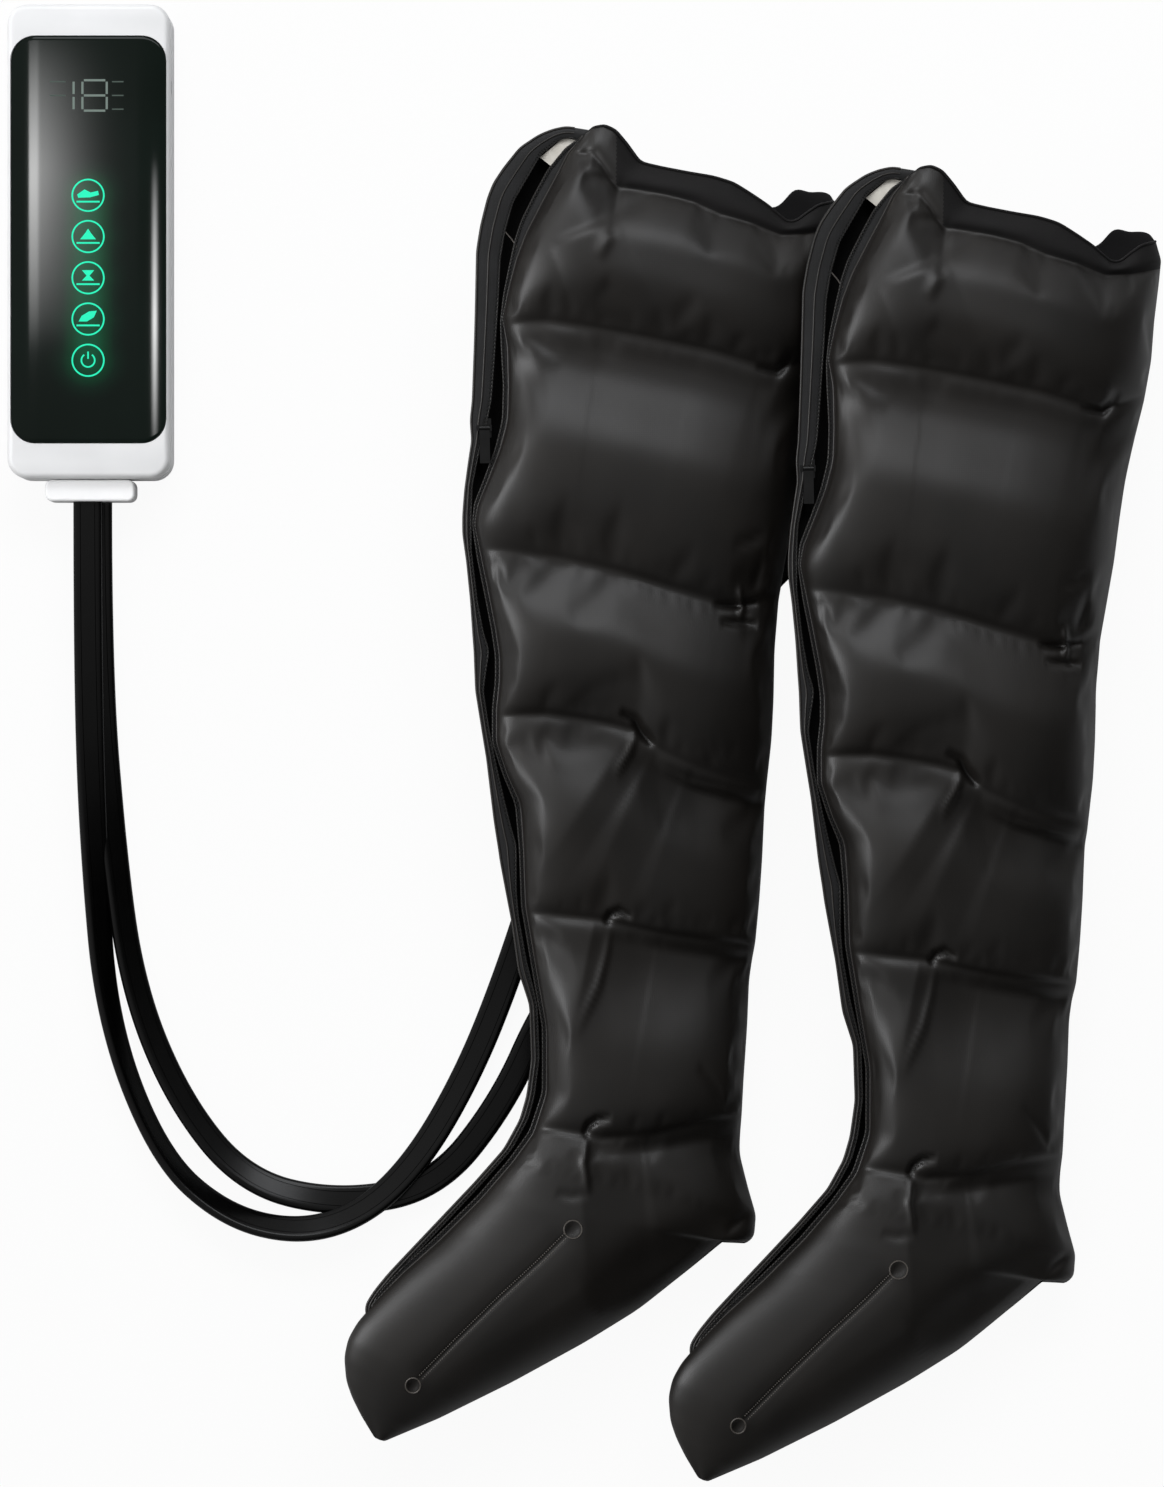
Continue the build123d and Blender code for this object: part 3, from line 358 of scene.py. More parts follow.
def rounded_block(name: str, size: Triple, centre: Triple,
                  corner: float, edge: float, segments: int = 6) -> Object:
    """Make a block with round upright corners and softened rims, all in millimetres.

    Args:
        name: the piece's name.
        size: width, length and height.
        centre: its middle.
        corner: radius of the four upright edges.
        edge: radius of the rims at top and bottom.
        segments: steps in each round.

    Returns:
        The object, with its place in its mesh.
    """
    deselect()
    bpy.ops.mesh.primitive_cube_add(size=1.0, location=[c * MM for c in centre])
    obj = bpy.context.object
    obj.name = name
    obj.data.name = name
    obj.scale = [s * MM for s in size]
    bpy.ops.object.transform_apply(location=True, rotation=True, scale=True)
    bpy.ops.object.mode_set(mode="EDIT")
    bpy.ops.mesh.select_mode(type="EDGE")
    bpy.ops.mesh.select_all(action="DESELECT")
    bpy.ops.object.mode_set(mode="OBJECT")
    ends = coords(obj)
    for line in obj.data.edges:
        a, b = ends[line.vertices[0]], ends[line.vertices[1]]
        line.select = abs(a[2] - b[2]) > 0.5 * size[2] * MM
    bpy.ops.object.mode_set(mode="EDIT")
    bpy.ops.mesh.bevel(offset=corner * MM, offset_type="OFFSET", segments=segments, profile=0.5)
    bpy.ops.object.mode_set(mode="OBJECT")
    modifier(obj, "BEVEL", width=edge * MM, segments=4, limit_method="ANGLE", angle_limit=math.radians(50))
    smooth(obj)
    return obj


# ------------------------------------------------------------------ finishes
def link_node(tree: Tree, kind: str, settings: dict | None = None,
              links: dict | None = None) -> bpy.types.Node:
    """Add a shader node.

    Args:
        tree: the material's tree.
        kind: the node's type name, without its ShaderNode prefix.
        settings: attributes, or input values where the key is an input's name or number.
        links: input name or number to the output socket that feeds it.

    Returns:
        The node.
    """
    node = tree.nodes.new("ShaderNode" + kind)
    for key, value in (settings or {}).items():
        if isinstance(key, str) and hasattr(node, key):
            setattr(node, key, value)
        else:
            node.inputs[key].default_value = value
    for key, socket in (links or {}).items():
        tree.links.new(socket, node.inputs[key])
    return node


def ramp(tree: Tree, source: Socket,
         stops: list[tuple[float, str]]) -> Socket:
    """Colour a value by a ramp of hex stops."""
    node = link_node(tree, "ValToRGB", {}, {0: source})
    band = node.color_ramp
    while len(band.elements) < len(stops):
        band.elements.new(0.5)
    for element, (position, code) in zip(band.elements, stops):
        element.position = position
        element.color = linear(code)
    return node.outputs[0]


def new_material(name: str) -> tuple[Material, Tree, bpy.types.Node, Socket]:
    """Make a material: itself, its nodes, its shader and the object coordinates."""
    material = bpy.data.materials.new(name)
    material.use_nodes = True
    tree = material.node_tree
    position = link_node(tree, "TexCoord").outputs["Object"]
    return material, tree, tree.nodes["Principled BSDF"], position


def maths(tree: Tree, operation: str, first: Socket, second: Socket | float) -> Socket:
    """Join two values by a maths node; the second may be a constant."""
    node = link_node(tree, "Math", {"operation": operation}, {0: first})
    if isinstance(second, float):
        node.inputs[1].default_value = second
    else:
        tree.links.new(second, node.inputs[1])
    return node.outputs[0]


@dataclass(frozen=True)
class Finish:
    """A surface finish: a base colour with mottling, a fine relief and its gloss."""

    name: str
    dark: str
    light: str
    roughness: float
    mottle_mm: float = 40.0
    grain_mm: float = 0.8
    grain_depth_mm: float = 0.02
    metallic: float = 0.0
    ior: float = 1.5
    coat: float = 0.0
    sheen: float = 0.0
    level: float = 0.5
    rough_spread: float = 0.06

    def start(self) -> tuple[Material, Tree, bpy.types.Node, Socket]:
        """Make the material with its shader and its object coordinates."""
        material, tree, shader, position = new_material(self.name)
        shader.inputs["Metallic"].default_value = self.metallic
        if self.metallic < 0.5:
            shader.inputs["IOR"].default_value = self.ior
        shader.inputs["Coat Weight"].default_value = self.coat
        shader.inputs["Coat Roughness"].default_value = 0.12
        shader.inputs["Sheen Weight"].default_value = self.sheen
        shader.inputs["Specular IOR Level"].default_value = self.level
        return material, tree, shader, position

    def relief(self, tree: Tree, position: Socket) -> Socket:
        """The height pattern of the surface's grain."""
        grain = link_node(tree, "TexNoise", {"Scale": 1000 / self.grain_mm, "Detail": 2.0},
                          {"Vector": position})
        return grain.outputs[0]

    def build(self) -> Material:
        """Build the material.

        Returns:
            The material, with colour, roughness and bump from its nodes.
        """
        material, tree, shader, position = self.start()
        mottle = link_node(tree, "TexNoise", {"Scale": 1000 / self.mottle_mm, "Detail": 4.0},
                           {"Vector": position})
        colour = ramp(tree, mottle.outputs[0], [(0.3, self.dark), (0.7, self.light)])
        tree.links.new(colour, shader.inputs["Base Color"])
        spread = link_node(tree, "MapRange", {"To Min": self.roughness - self.rough_spread,
                                              "To Max": self.roughness + self.rough_spread},
                           {"Value": mottle.outputs[0]})
        tree.links.new(spread.outputs[0], shader.inputs["Roughness"])
        bump = link_node(tree, "Bump", {"Strength": 0.6, "Distance": self.grain_depth_mm * MM},
                         {"Height": self.relief(tree, position)})
        tree.links.new(bump.outputs[0], shader.inputs["Normal"])
        return material


@dataclass(frozen=True)
class WovenFinish(Finish):
    """A woven or ribbed cloth: two crossed waves, as wide as the threads."""

    thread_mm: float = 0.9

    def relief(self, tree: Tree, position: Socket) -> Socket:
        """The height pattern of crossed threads."""
        heights = []
        for direction in ("X", "Y"):
            wave = link_node(tree, "TexWave",
                             {"bands_direction": direction, "Scale": 1000 / self.thread_mm / 3.14,
                              "Distortion": 0.4, "Detail": 1.0}, {"Vector": position})
            heights.append(wave.outputs[1])
        return maths(tree, "MULTIPLY", *heights)


@dataclass(frozen=True)
class TouchGlass(Finish):
    """Black back-printed glass that glows green around each lit symbol."""

    centres: tuple[Point, ...] = ()
    reach_mm: float = 30.0

    def build(self) -> Material:
        """Build the glass: dark print under a clear glossy face, with soft glows."""
        material, tree, shader, position = self.start()
        shader.inputs["Roughness"].default_value = self.roughness
        total = None
        for x, y in self.centres:
            gap = link_node(tree, "VectorMath", {"operation": "MULTIPLY", 1: (1.0, 1.0, 0.0)},
                            {0: position})
            away = link_node(tree, "VectorMath", {"operation": "DISTANCE", 1: (x * MM, y * MM, 0.0)},
                             {0: gap.outputs[0]})
            fade = link_node(tree, "MapRange",
                             {"interpolation_type": "SMOOTHSTEP", "From Min": 0.0,
                              "From Max": self.reach_mm * MM, "To Min": 1.0, "To Max": 0.0},
                             {"Value": away.outputs["Value"]})
            total = fade.outputs[0] if total is None else maths(tree, "ADD", total, fade.outputs[0])
        glow = ramp(tree, total, [(0.0, "#020503"), (0.3, "#05180f"), (0.7, "#06351f"), (1.0, "#084a2f")])
        tree.links.new(glow, shader.inputs["Emission Color"])
        shader.inputs["Emission Strength"].default_value = 1.0
        mottle = link_node(tree, "TexNoise", {"Scale": 1000 / self.mottle_mm}, {"Vector": position})
        colour = ramp(tree, mottle.outputs[0], [(0.3, self.dark), (0.7, self.light)])
        tree.links.new(colour, shader.inputs["Base Color"])
        return material


@dataclass(frozen=True)
class Lit:
    """A lit print or light guide: an even glow with a little mottling."""

    name: str
    colour: str
    strength: float

    def build(self) -> Material:
        """Build the glowing material."""
        material, tree, shader, position = new_material(self.name)
        mottle = link_node(tree, "TexNoise", {"Scale": 400.0}, {"Vector": position})
        tone = link_node(tree, "MapRange", {"To Min": 0.85, "To Max": 1.1}, {"Value": mottle.outputs[0]})
        colour = link_node(tree, "VectorMath", {"operation": "SCALE", 0: linear(self.colour)[:3]},
                           {"Scale": tone.outputs[0]})
        tree.links.new(colour.outputs[0], shader.inputs["Emission Color"])
        shader.inputs["Base Color"].default_value = linear(self.colour)
        shader.inputs["Emission Strength"].default_value = self.strength
        shader.inputs["Roughness"].default_value = 0.4
        return material


class Finishes:
    """All materials of the set, each built once."""

    def __init__(self, glow_centres: tuple[Point, ...]) -> None:
        """Build every finish.

        Args:
            glow_centres: the lit symbols' places, in millimetres.
        """
        # Coated nylon: a thin film on a fine weave, satin, with a fine leathery grain.
        self.nylon = WovenFinish("coated_nylon_welded", "#13110f", "#181512", 0.45, 60, 0.5, 0.03,
                                 level=0.44, thread_mm=1.3, rough_spread=0.04).build()
        # The same cloth seen from its uncoated inner side: dull and darker.
        self.lining = WovenFinish("nylon_lining_brushed", "#0e0d0e", "#151415", 0.85, 25, thread_mm=1.5,
                                  grain_depth_mm=0.06, level=0.2).build()
        # Lining deep between the tapes: brushed black knit, darkened nearly to black as painted shade for
        # the gap between the tapes.
        self.void = WovenFinish("gusset_knit_black", "#050505", "#090909", 0.9, 25, thread_mm=1.5,
                                grain_depth_mm=0.06, level=0.1).build()
        # Hem binding: a woven tape folded over the rim.
        self.binding = WovenFinish("hem_binding_woven", "#0b0a0a", "#110f0f", 0.65, 25, thread_mm=1.1,
                                   grain_depth_mm=0.07, level=0.22).build()
        # Polyester zip tape: ribbed cloth, nearly matt.
        self.tape = WovenFinish("zip_tape_polyester", "#141414", "#1b1b1c", 0.5, 20, thread_mm=1.0,
                                grain_depth_mm=0.08, level=0.35).build()
        # Nylon zip coil: bright-edged small loops.
        self.coil = Finish("zip_coil_nylon", "#0c0c0c", "#131313", 0.4, 8, 0.4, 0.02, level=0.3).build()
        # Piping: film folded over a cord, which catches a thin line of light from the lamps; its colour is
        # also lighter than the panels' nylon, a painted highlight along the edges.
        self.piping = Finish("piping_welded_film", "#1c1a18", "#262320", 0.42, 14, 0.7, 0.03,
                             level=0.4).build()
        # Sewing thread, twisted polyester, dusty brown-grey.
        self.thread = Finish("thread_twisted_polyester", "#3f3b37", "#4d4843", 0.6, 3, 0.3, 0.04).build()
        # Zinc casting in black enamel.
        self.enamel = Finish("zinc_black_enamel", "#0a0a0a", "#131313", 0.42, 9, 0.5, 0.02, coat=0.1,
                             level=0.3).build()
        # Blank woven label, off-white.
        self.label = WovenFinish("label_woven_satin", "#b9b4aa", "#d8d4cb", 0.6, 12, thread_mm=0.8).build()
        # Polished soft PVC, extruded: long bright highlights.
        self.hose = Finish("hose_extruded_pvc", "#020202", "#050505", 0.25, 30, 1.2, 0.02, level=0.24,
                           rough_spread=0.04).build()
        # White ABS, injection-moulded: satin with a faint spark-eroded grain.
        self.abs_white = Finish("abs_moulded_white", "#e6e6e6", "#eeeeee", 0.36, 60, 0.6, 0.01).build()
        # Black back-printed float glass with a polished curved rim.
        self.glass = TouchGlass("glass_back_printed", "#020604", "#040b08", 0.09, 80, centres=glow_centres,
                                level=0.16).build()
        # Lit symbols: cyan-green light through the print.
        self.symbol = Lit("light_guide_green", "#14c99a", 0.95).build()
        # Seven-segment digits, dim white.
        self.digit = Lit("digit_segments_white", "#5f6b65", 0.8).build()
        # Small unlit marks beside the digits, given a faint glow of their own as painted light.
        self.mark = Lit("digit_marks_grey", "#39453f", 0.7).build()
        # Zinc-plated and brushed steel.
        self.steel = Finish("steel_zinc_plated", "#8a8a8c", "#a6a6a8", 0.34, 10, 0.5, 0.02,
                            metallic=1.0).build()
        # Solder-masked fibreglass board.
        self.board = Finish("circuit_board_green", "#0b3a20", "#0f4a2a", 0.4, 12, 1.0, 0.05,
                            coat=0.3).build()
        # Moulded black nylon.
        self.black = Finish("nylon_moulded_black", "#131313", "#1a1a1a", 0.5, 20, 0.6, 0.03).build()
        # Moulded silicone rubber.
        self.rubber = Finish("rubber_moulded_black", "#0f0f0f", "#171717", 0.7, 15, 0.8, 0.04).build()
        # Shrink film around cells.
        self.wrap = Finish("cell_shrink_film", "#123a7a", "#16458c", 0.3, 25, 2.0, 0.05, coat=0.4).build()
        # Enamelled copper winding.
        self.copper = Finish("copper_winding_enamelled", "#8c4a26", "#a85c30", 0.32, 6, 0.4, 0.05,
                             metallic=1.0).build()


# ------------------------------------------------------------------ boots
@dataclass(frozen=True)
class Guide:
    """A line across the boot's upper panel, from the zip side to the calf side, with half its height."""

    line: Line
    half_height: float
    weld: float = 0.0
    softness: float = 0.03
    rise_from: float = 0.0
    rise_to: float = 0.5

    def profile(self, step: float) -> float:
        """Share of the crest's height at a share of the way to the next weld."""
        def rise(at: float) -> float:
            """Share of the rise between its two ends, eased at both."""
            share = min(1.0, max(0.0, (at - self.rise_from) / (self.rise_to - self.rise_from)))
            return share * share * (3 - 2 * share)
        start = rise(0.0)
        fall = 1 - (max(0.0, step - 0.5) / 0.5) ** 2.6
        return (rise(step) - start) / (1 - start) * fall


@dataclass(frozen=True)
class Fold:
    """A crease, ridge or lap that gathered cloth makes near a weld."""

    line: Line
    width: float
    height: float
    lap: bool = False

    # A lap's cloth comes back to level over this many widths and sheet units below its line.
    RETURN_WIDTHS = 4.5
    RETURN_MORE = 70.0
    TAPER = 0.7
    LAP_TAPER = 0.9


FRONT_EDGE: Line = [
    (586, 132), (568, 153), (557, 175), (543, 201), (527, 232), (517, 258), (509, 288), (503, 318),
    (508, 345), (509, 385), (508, 420), (500, 450), (489, 478), (478, 505), (475, 524), (482, 558),
    (489, 592), (496, 628), (500, 655), (500, 680), (497, 708), (497, 742), (508, 775), (521, 803),
    (524, 848), (526, 905), (537, 970), (547, 1027), (547, 1093), (534, 1133), (513, 1162),
    (481, 1199), (440, 1240), (403, 1273), (386, 1290), (371, 1306), (357, 1322), (348, 1338),
    (344, 1356), (346, 1380), (352, 1397), (361, 1415), (375, 1438)]
BACK_EDGE: Line = [
    (834, 199), (840, 220), (838, 240), (833, 280), (830, 320), (823, 360), (813, 400), (804, 440),
    (798, 480), (793, 520), (786, 560), (779, 600), (775, 650), (774, 700), (772, 740), (767, 785),
    (766, 800), (763, 860), (760, 900), (756, 940), (750, 980), (748, 1025), (744, 1080), (742, 1116),
    (740, 1153), (749, 1189), (757, 1216), (755, 1238), (747, 1244), (736, 1241), (727, 1239),
    (693, 1267), (639, 1309), (585, 1342), (512, 1382), (439, 1418), (384, 1441)]
RIM: Line = [
    (583, 133), (591, 126), (602, 124), (613, 129), (625, 143), (638, 161), (660, 166), (687, 171),
    (712, 175), (732, 181), (750, 192), (768, 204), (778, 213), (787, 220), (796, 219), (806, 211),
    (818, 203), (834, 199)]
RIM_UNDER: Line = [
    (583, 133), (601, 130), (618, 145), (640, 170), (687, 178), (730, 186), (755, 203), (774, 207),
    (784, 198), (791, 187), (797, 184), (808, 189), (820, 188), (829, 190), (834, 199)]
HEM: Line = [
    (568, 153), (594, 152), (617, 186), (640, 189), (667, 194), (694, 201), (720, 213), (751, 222),
    (780, 234), (805, 233), (838, 228)]
SEAM_1: Line = [
    (503, 325), (524, 322), (547, 320), (574, 324), (628, 333), (668, 341), (708, 349), (745, 360),
    (775, 370), (790, 364), (822, 355)]
SEAM_2: Line = [
    (480, 548), (500, 549), (560, 556), (613, 568), (650, 580), (690, 592), (716, 600), (745, 607),
    (778, 590)]
SEAM_3: Line = [
    (494, 716), (520, 714), (543, 713), (587, 719), (612, 724), (632, 730), (655, 748), (690, 765),
    (730, 778), (765, 786)]
SEAM_4: Line = [
    (526, 912), (562, 915), (603, 919), (622, 924), (660, 932), (700, 938), (754, 945)]
SEAM_5: Line = [
    (536, 1128), (560, 1130), (585, 1134), (600, 1138), (650, 1134), (694, 1124), (724, 1120), (740, 1118)]
FOOT_LINES: list[tuple[Line, float]] = [
    ([(513, 1162), (585, 1172), (670, 1190), (720, 1205), (752, 1212)], 38.0),
    ([(478, 1202), (560, 1220), (640, 1237), (700, 1245), (722, 1243)], 40.0),
    ([(440, 1240), (520, 1265), (580, 1290), (655, 1297)], 39.0),
    ([(403, 1278), (450, 1310), (500, 1342), (550, 1360)], 33.0),
    ([(350, 1334), (388, 1358), (426, 1382), (462, 1407)], 25.0),
    ([(351, 1395), (370, 1406), (390, 1417), (414, 1430)], 13.0),
    ([(375, 1438), (378, 1439), (381, 1440), (384, 1441)], 4.0)]

FOLDS: list[Fold] = [
    # the placket's folded corner below the rim
    Fold([(621, 176), (617, 202), (612, 236)], 5.0, -1.7),
    Fold([(546, 238), (582, 224), (616, 210)], 12.0, -3.0, lap=True),
    Fold([(583, 176), (600, 178), (618, 180)], 4.0, -1.4),
    Fold([(590, 128), (586, 150), (583, 172)], 5.0, -1.2),
    Fold([(611, 232), (603, 247), (598, 258)], 6.0, 1.6),
    # first weld: a soft valley that deepens and turns up at the calf side
    Fold([(520, 321), (600, 328), (700, 346), (760, 364), (830, 372)], 26.0, 4.6, lap=True),
    Fold([(756, 366), (778, 371), (787, 362), (792, 348)], 4.0, -3.6),
    Fold([(506, 335), (530, 345), (560, 366)], 8.0, 1.4),
    # second weld: cloth gathered into a tuck near the calf side
    Fold([(500, 547), (560, 552), (640, 568), (730, 596), (780, 608)], 14.0, 1.8, lap=True),
    Fold([(714, 604), (735, 605), (758, 602)], 3.0, -5.5),
    Fold([(720, 621), (738, 622), (758, 624)], 3.0, -5.5),
    Fold([(739, 586), (742, 606), (740, 618)], 2.6, 4.0),
    Fold([(733, 545), (752, 540), (766, 532)], 4.0, -2.6),
    Fold([(764, 552), (758, 572), (752, 592)], 5.0, -2.4),
    Fold([(766, 618), (774, 640), (775, 664)], 5.0, -1.6),
    # third weld: a sharp tuck in the middle and a broad shadowed fold to its right
    Fold([(480, 706), (545, 704), (650, 724)], 12.0, 1.6, lap=True),
    Fold([(620, 711), (635, 719), (642, 731), (653, 745)], 4.2, -6.5),
    Fold([(637, 730), (629, 752), (614, 776)], 3.6, 2.8),
    Fold([(632, 732), (655, 747), (690, 763), (730, 776), (830, 800)], 25.0, 14.5, lap=True),
    Fold([(660, 768), (690, 783), (728, 791), (764, 798)], 3.0, 2.0),
    # fourth weld: a small hook and a long light ridge below it
    Fold([(605, 924), (611, 914), (620, 911), (632, 917)], 3.2, -6.0),
    Fold([(611, 926), (606, 955), (598, 985), (576, 1032)], 3.4, 1.8),
    Fold([(588, 960), (574, 1000), (562, 1040)], 16.0, 1.2),
    Fold([(596, 914), (660, 927), (705, 934), (820, 948)], 24.0, 14.0, lap=True),
    # fifth weld: a hook and a short ridge over the instep
    Fold([(584, 1136), (589, 1125), (597, 1120), (612, 1118)], 3.2, -6.0),
    Fold([(587, 1138), (584, 1162), (588, 1194)], 3.4, 2.6),
    Fold([(588, 1194), (572, 1196), (556, 1192)], 5.0, -1.4),
    Fold([(578, 1132), (640, 1128), (690, 1119), (800, 1098)], 27.0, 12.0, lap=True),
    Fold([(698, 1066), (716, 1088), (730, 1112)], 4.0, -1.8),
    # the heel's tail
    Fold([(590, 1300), (650, 1264), (700, 1243), (750, 1222), (800, 1196)], 24.0, -8.0),
    Fold([(726, 1234), (738, 1224), (752, 1212)], 4.0, -2.0)]

WELD_SLOT: Line = [(572, 1229), (540, 1261), (500, 1298), (455, 1342), (415, 1383)]
SLOT_BOX: Line = [(390, 1205), (600, 1410)]
SLOT_RINGS: list[tuple[Point, float]] = [((573, 1229), 9.0), ((413, 1385), 7.5)]


@dataclass
class BootSkin:
    """The inflated shell of one boot: outer panels, rolled rim and lining, as one closed mesh."""

    side: Side
    finishes: Finishes
    rows_per_chamber: int = 22
    rows_in_hem: int = 7
    guide_samples: int = 400
    rows_per_foot_span: int = 10
    foot_rows_held: int = 60
    rim_rows_held: int = 8
    weld_held: float = 0.8
    top_columns: int = 76
    under_columns: int = 38
    lining_rows: int = 12
    tilt_east: float = -0.14062
    tilt_north: float = 0.02793
    middle: Triple = (46.9, 2.1, 51.64)
    crests: tuple[float, ...] = (36.0, 57.0, 59.0, 55.0, 49.0, 42.0)
    zip_height: float = 3.0
    zip_rise: float = 12.0
    floor_clearance: float = 1.0
    floor_softness: float = 3.0
    front_power: float = 2.8
    back_power: float = 2.6
    foot_power: float = 2.0
    foot_from: float = 1130.0
    foot_blend: float = 130.0
    lift_share: float = 0.35
    under_share: float = 0.22
    lining_depth: int = 52
    lining_end: float = 520.0
    way_cap: float = 1.6
    frames: int = 18

    LINING_SLOT = 1
    BINDING_SLOT = 2
    AIR = {"quality": 5, "mass": 0.3, "tension_stiffness": 20, "compression_stiffness": 12,
           "shear_stiffness": 8, "bending_stiffness": 3.0, "use_pressure": True,
           "uniform_pressure_force": 2.0, "shrink_min": -0.008, "vertex_group_mass": "welds"}

    def guides(self) -> list[Guide]:
        """The lines across the boot in order, from the rim to the toe."""
        heights = (30.0, 36.0, 42.0, 39.0, 36.0, 30.0, 31.0)
        lines = (RIM, HEM, SEAM_1, SEAM_2, SEAM_3, SEAM_4, SEAM_5)
        welds = (0.0, 1.4, 1.2, 1.4, 1.8, 2.2, 2.2)
        softness = (0.03, 0.03, 0.055, 0.055, 0.04, 0.022, 0.022)
        rise_from = (0.0, -0.5, 0.14, 0.0, 0.09, 0.1, 0.0)
        rise_to = (1.0, 0.34, 0.52, 0.52, 0.56, 0.62, 0.8)
        upper = [Guide(*values) for values in zip(lines, heights, welds, softness, rise_from, rise_to)]
        return upper + [Guide(line, height) for line, height in FOOT_LINES]

    def plane(self, points: np.ndarray) -> np.ndarray:
        """Height of the boot's tilted middle plane under sheet points, in millimetres."""
        east = (points[..., 0] - SHEET_ORIGIN[0]) * SHEET_UNIT
        north = (SHEET_ORIGIN[1] - points[..., 1]) * SHEET_UNIT
        return (self.middle[2] + self.tilt_east * (east - self.middle[0])
                + self.tilt_north * (north - self.middle[1]))

    def front_lift(self, points: np.ndarray) -> np.ndarray:
        """How far the zip side stands above the middle plane, in millimetres."""
        north = (SHEET_ORIGIN[1] - points[..., 1]) * SHEET_UNIT
        share = np.clip((north + 480.0) / 900.0, 0, 1)
        return self.zip_height + self.zip_rise * share

    def spans(self) -> list[tuple[int, float, np.ndarray, bool]]:
        """Rows between each pair of guides: guide number, crest, shares, and whether it is a chamber."""
        out = []
        for index in range(len(self.guides()) - 1):
            chamber = index < len(self.crests)
            count = self.rows_per_chamber if chamber else self.rows_per_foot_span
            if index == 0:
                count = self.rows_in_hem
            shares = np.arange(count) / count
            if chamber and index:
                shares = 0.6 * (1 - np.cos(np.pi * shares)) / 2 + 0.4 * shares
            out.append((index, self.crests[index] if chamber else 0.0, shares, chamber))
        return out

    def across(self, count: int, line: Line) -> np.ndarray:
        """A guide's offsets from the straight line between its ends, at shares set closer at the edges."""
        shares = self.shares(count)
        pts = resample(line, self.guide_samples)
        shape = interpolated(shares, np.linspace(0, 1, len(pts)), pts)
        straight = (1 - shares)[:, None] * pts[0] + shares[:, None] * pts[-1]
        return shape - straight

    @staticmethod
    def shares(count: int) -> np.ndarray:
        """Shares from 0 to 1, closer together near the edges."""
        return (1 - np.cos(np.pi * np.linspace(0, 1, count))) / 2 * 0.8 + np.linspace(0, 1, count) * 0.2

    @staticmethod
    def edge_point(edge: Line, at: list[float], index: int, step: float) -> np.ndarray:
        """An edge's point at a share of the way between two guides' ends."""
        return resample(edge, 2, 0, at[index] + step * (at[index + 1] - at[index]))[1]

    def surface(self, count: int, under: bool) -> tuple[np.ndarray, np.ndarray, np.ndarray]:
        """Lay one panel out in rows.

        Args:
            count: columns across.
            under: whether it is the panel that lies on the floor.

        Returns:
            Sheet points (rows, count, 2), heights (rows, count) and each row's weld depth.
        """
        guides = self.guides()
        front_at = [nearest_share(FRONT_EDGE, g.line[0]) for g in guides]
        back_at = [nearest_share(BACK_EDGE, g.line[-1]) for g in guides]
        front_at[0], back_at[0], front_at[-1], back_at[-1] = 0.0, 0.0, 1.0, 1.0
        lines = [g.line for g in guides]
        if under:
            lines[0] = RIM_UNDER
        offsets = [self.across(count, line) for line in lines]
        shares = self.shares(count)
        rows, heights, welds = [], [], []
        for index, crest, steps, chamber in self.spans():
            for step in [*steps, 1.0] if index == len(guides) - 2 else steps:
                front = self.edge_point(FRONT_EDGE, front_at, index, step)
                back = self.edge_point(BACK_EDGE, back_at, index, step)
                straight = (1 - shares)[:, None] * front + shares[:, None] * back
                if index >= len(self.crests):
                    row = straight + between(offsets, len(self.crests), index, step)
                    low = between([g.half_height for g in guides], len(self.crests), index, step)
                else:
                    ease = step * step * (3 - 2 * step)
                    row = straight + (1 - ease) * offsets[index] + ease * offsets[index + 1]
                    low = guides[index].half_height * (1 - ease) + guides[index + 1].half_height * ease
                arc = guides[index].profile(step) if chamber and index else math.sin(math.pi * step)
                mean = (guides[index].half_height + guides[index + 1].half_height) / 2
                rows.append(row)
                heights.append(low + (crest - mean) * arc if chamber else low)
                near = guides[index] if step < 0.5 else guides[index + 1]
                reach = min(step, 1 - step)
                welds.append(near.weld * math.exp(-(reach / near.softness) ** 1.2))
        grid = np.array(rows)
        half = np.array(heights)
        weld = np.array(welds)
        return grid, self.panel_heights(grid, half, weld, under), weld

    def panel_heights(self, grid: np.ndarray, half: np.ndarray, weld: np.ndarray,
                      under: bool) -> np.ndarray:
        """Heights of a panel's points above the floor, in millimetres.

        Args:
            grid: the panel's sheet points, in rows.
            half: half the boot's height in each row.
            weld: each row's weld depth.
            under: whether it is the panel that lies on the floor.

        Returns:
            A height for each point.
        """
        shares = self.shares(grid.shape[1])
        centred = np.abs(2 * shares - 1)
        foot = np.clip((grid[:, :, 1].mean(axis=1) - self.foot_from) / self.foot_blend, 0, 1)[:, None]
        leg_power = np.where(shares < 0.5, self.front_power, self.back_power)[None, :]
        power = leg_power * (1 - foot) + self.foot_power * foot
        bulge = (1 - centred[None, :] ** power) ** (1 / power)
        middle = self.plane(grid)
        lift = self.front_lift(grid) * (np.clip(1 - shares / self.lift_share, 0, 1) ** 2)[None, :]
        if under:
            ease = np.clip(shares / self.under_share, 0, 1)
            bulge = bulge * (ease * ease * (3 - 2 * ease))[None, :]
            drop = half[:, None] * bulge
            raw = middle + lift - drop
            base = self.floor_clearance + 0.8 * weld[:, None]
            return base + np.log1p(np.exp((raw - base) / self.floor_softness)) * self.floor_softness
        return middle + lift + half[:, None] * bulge - weld[:, None] * np.minimum(1, bulge * 1.4)

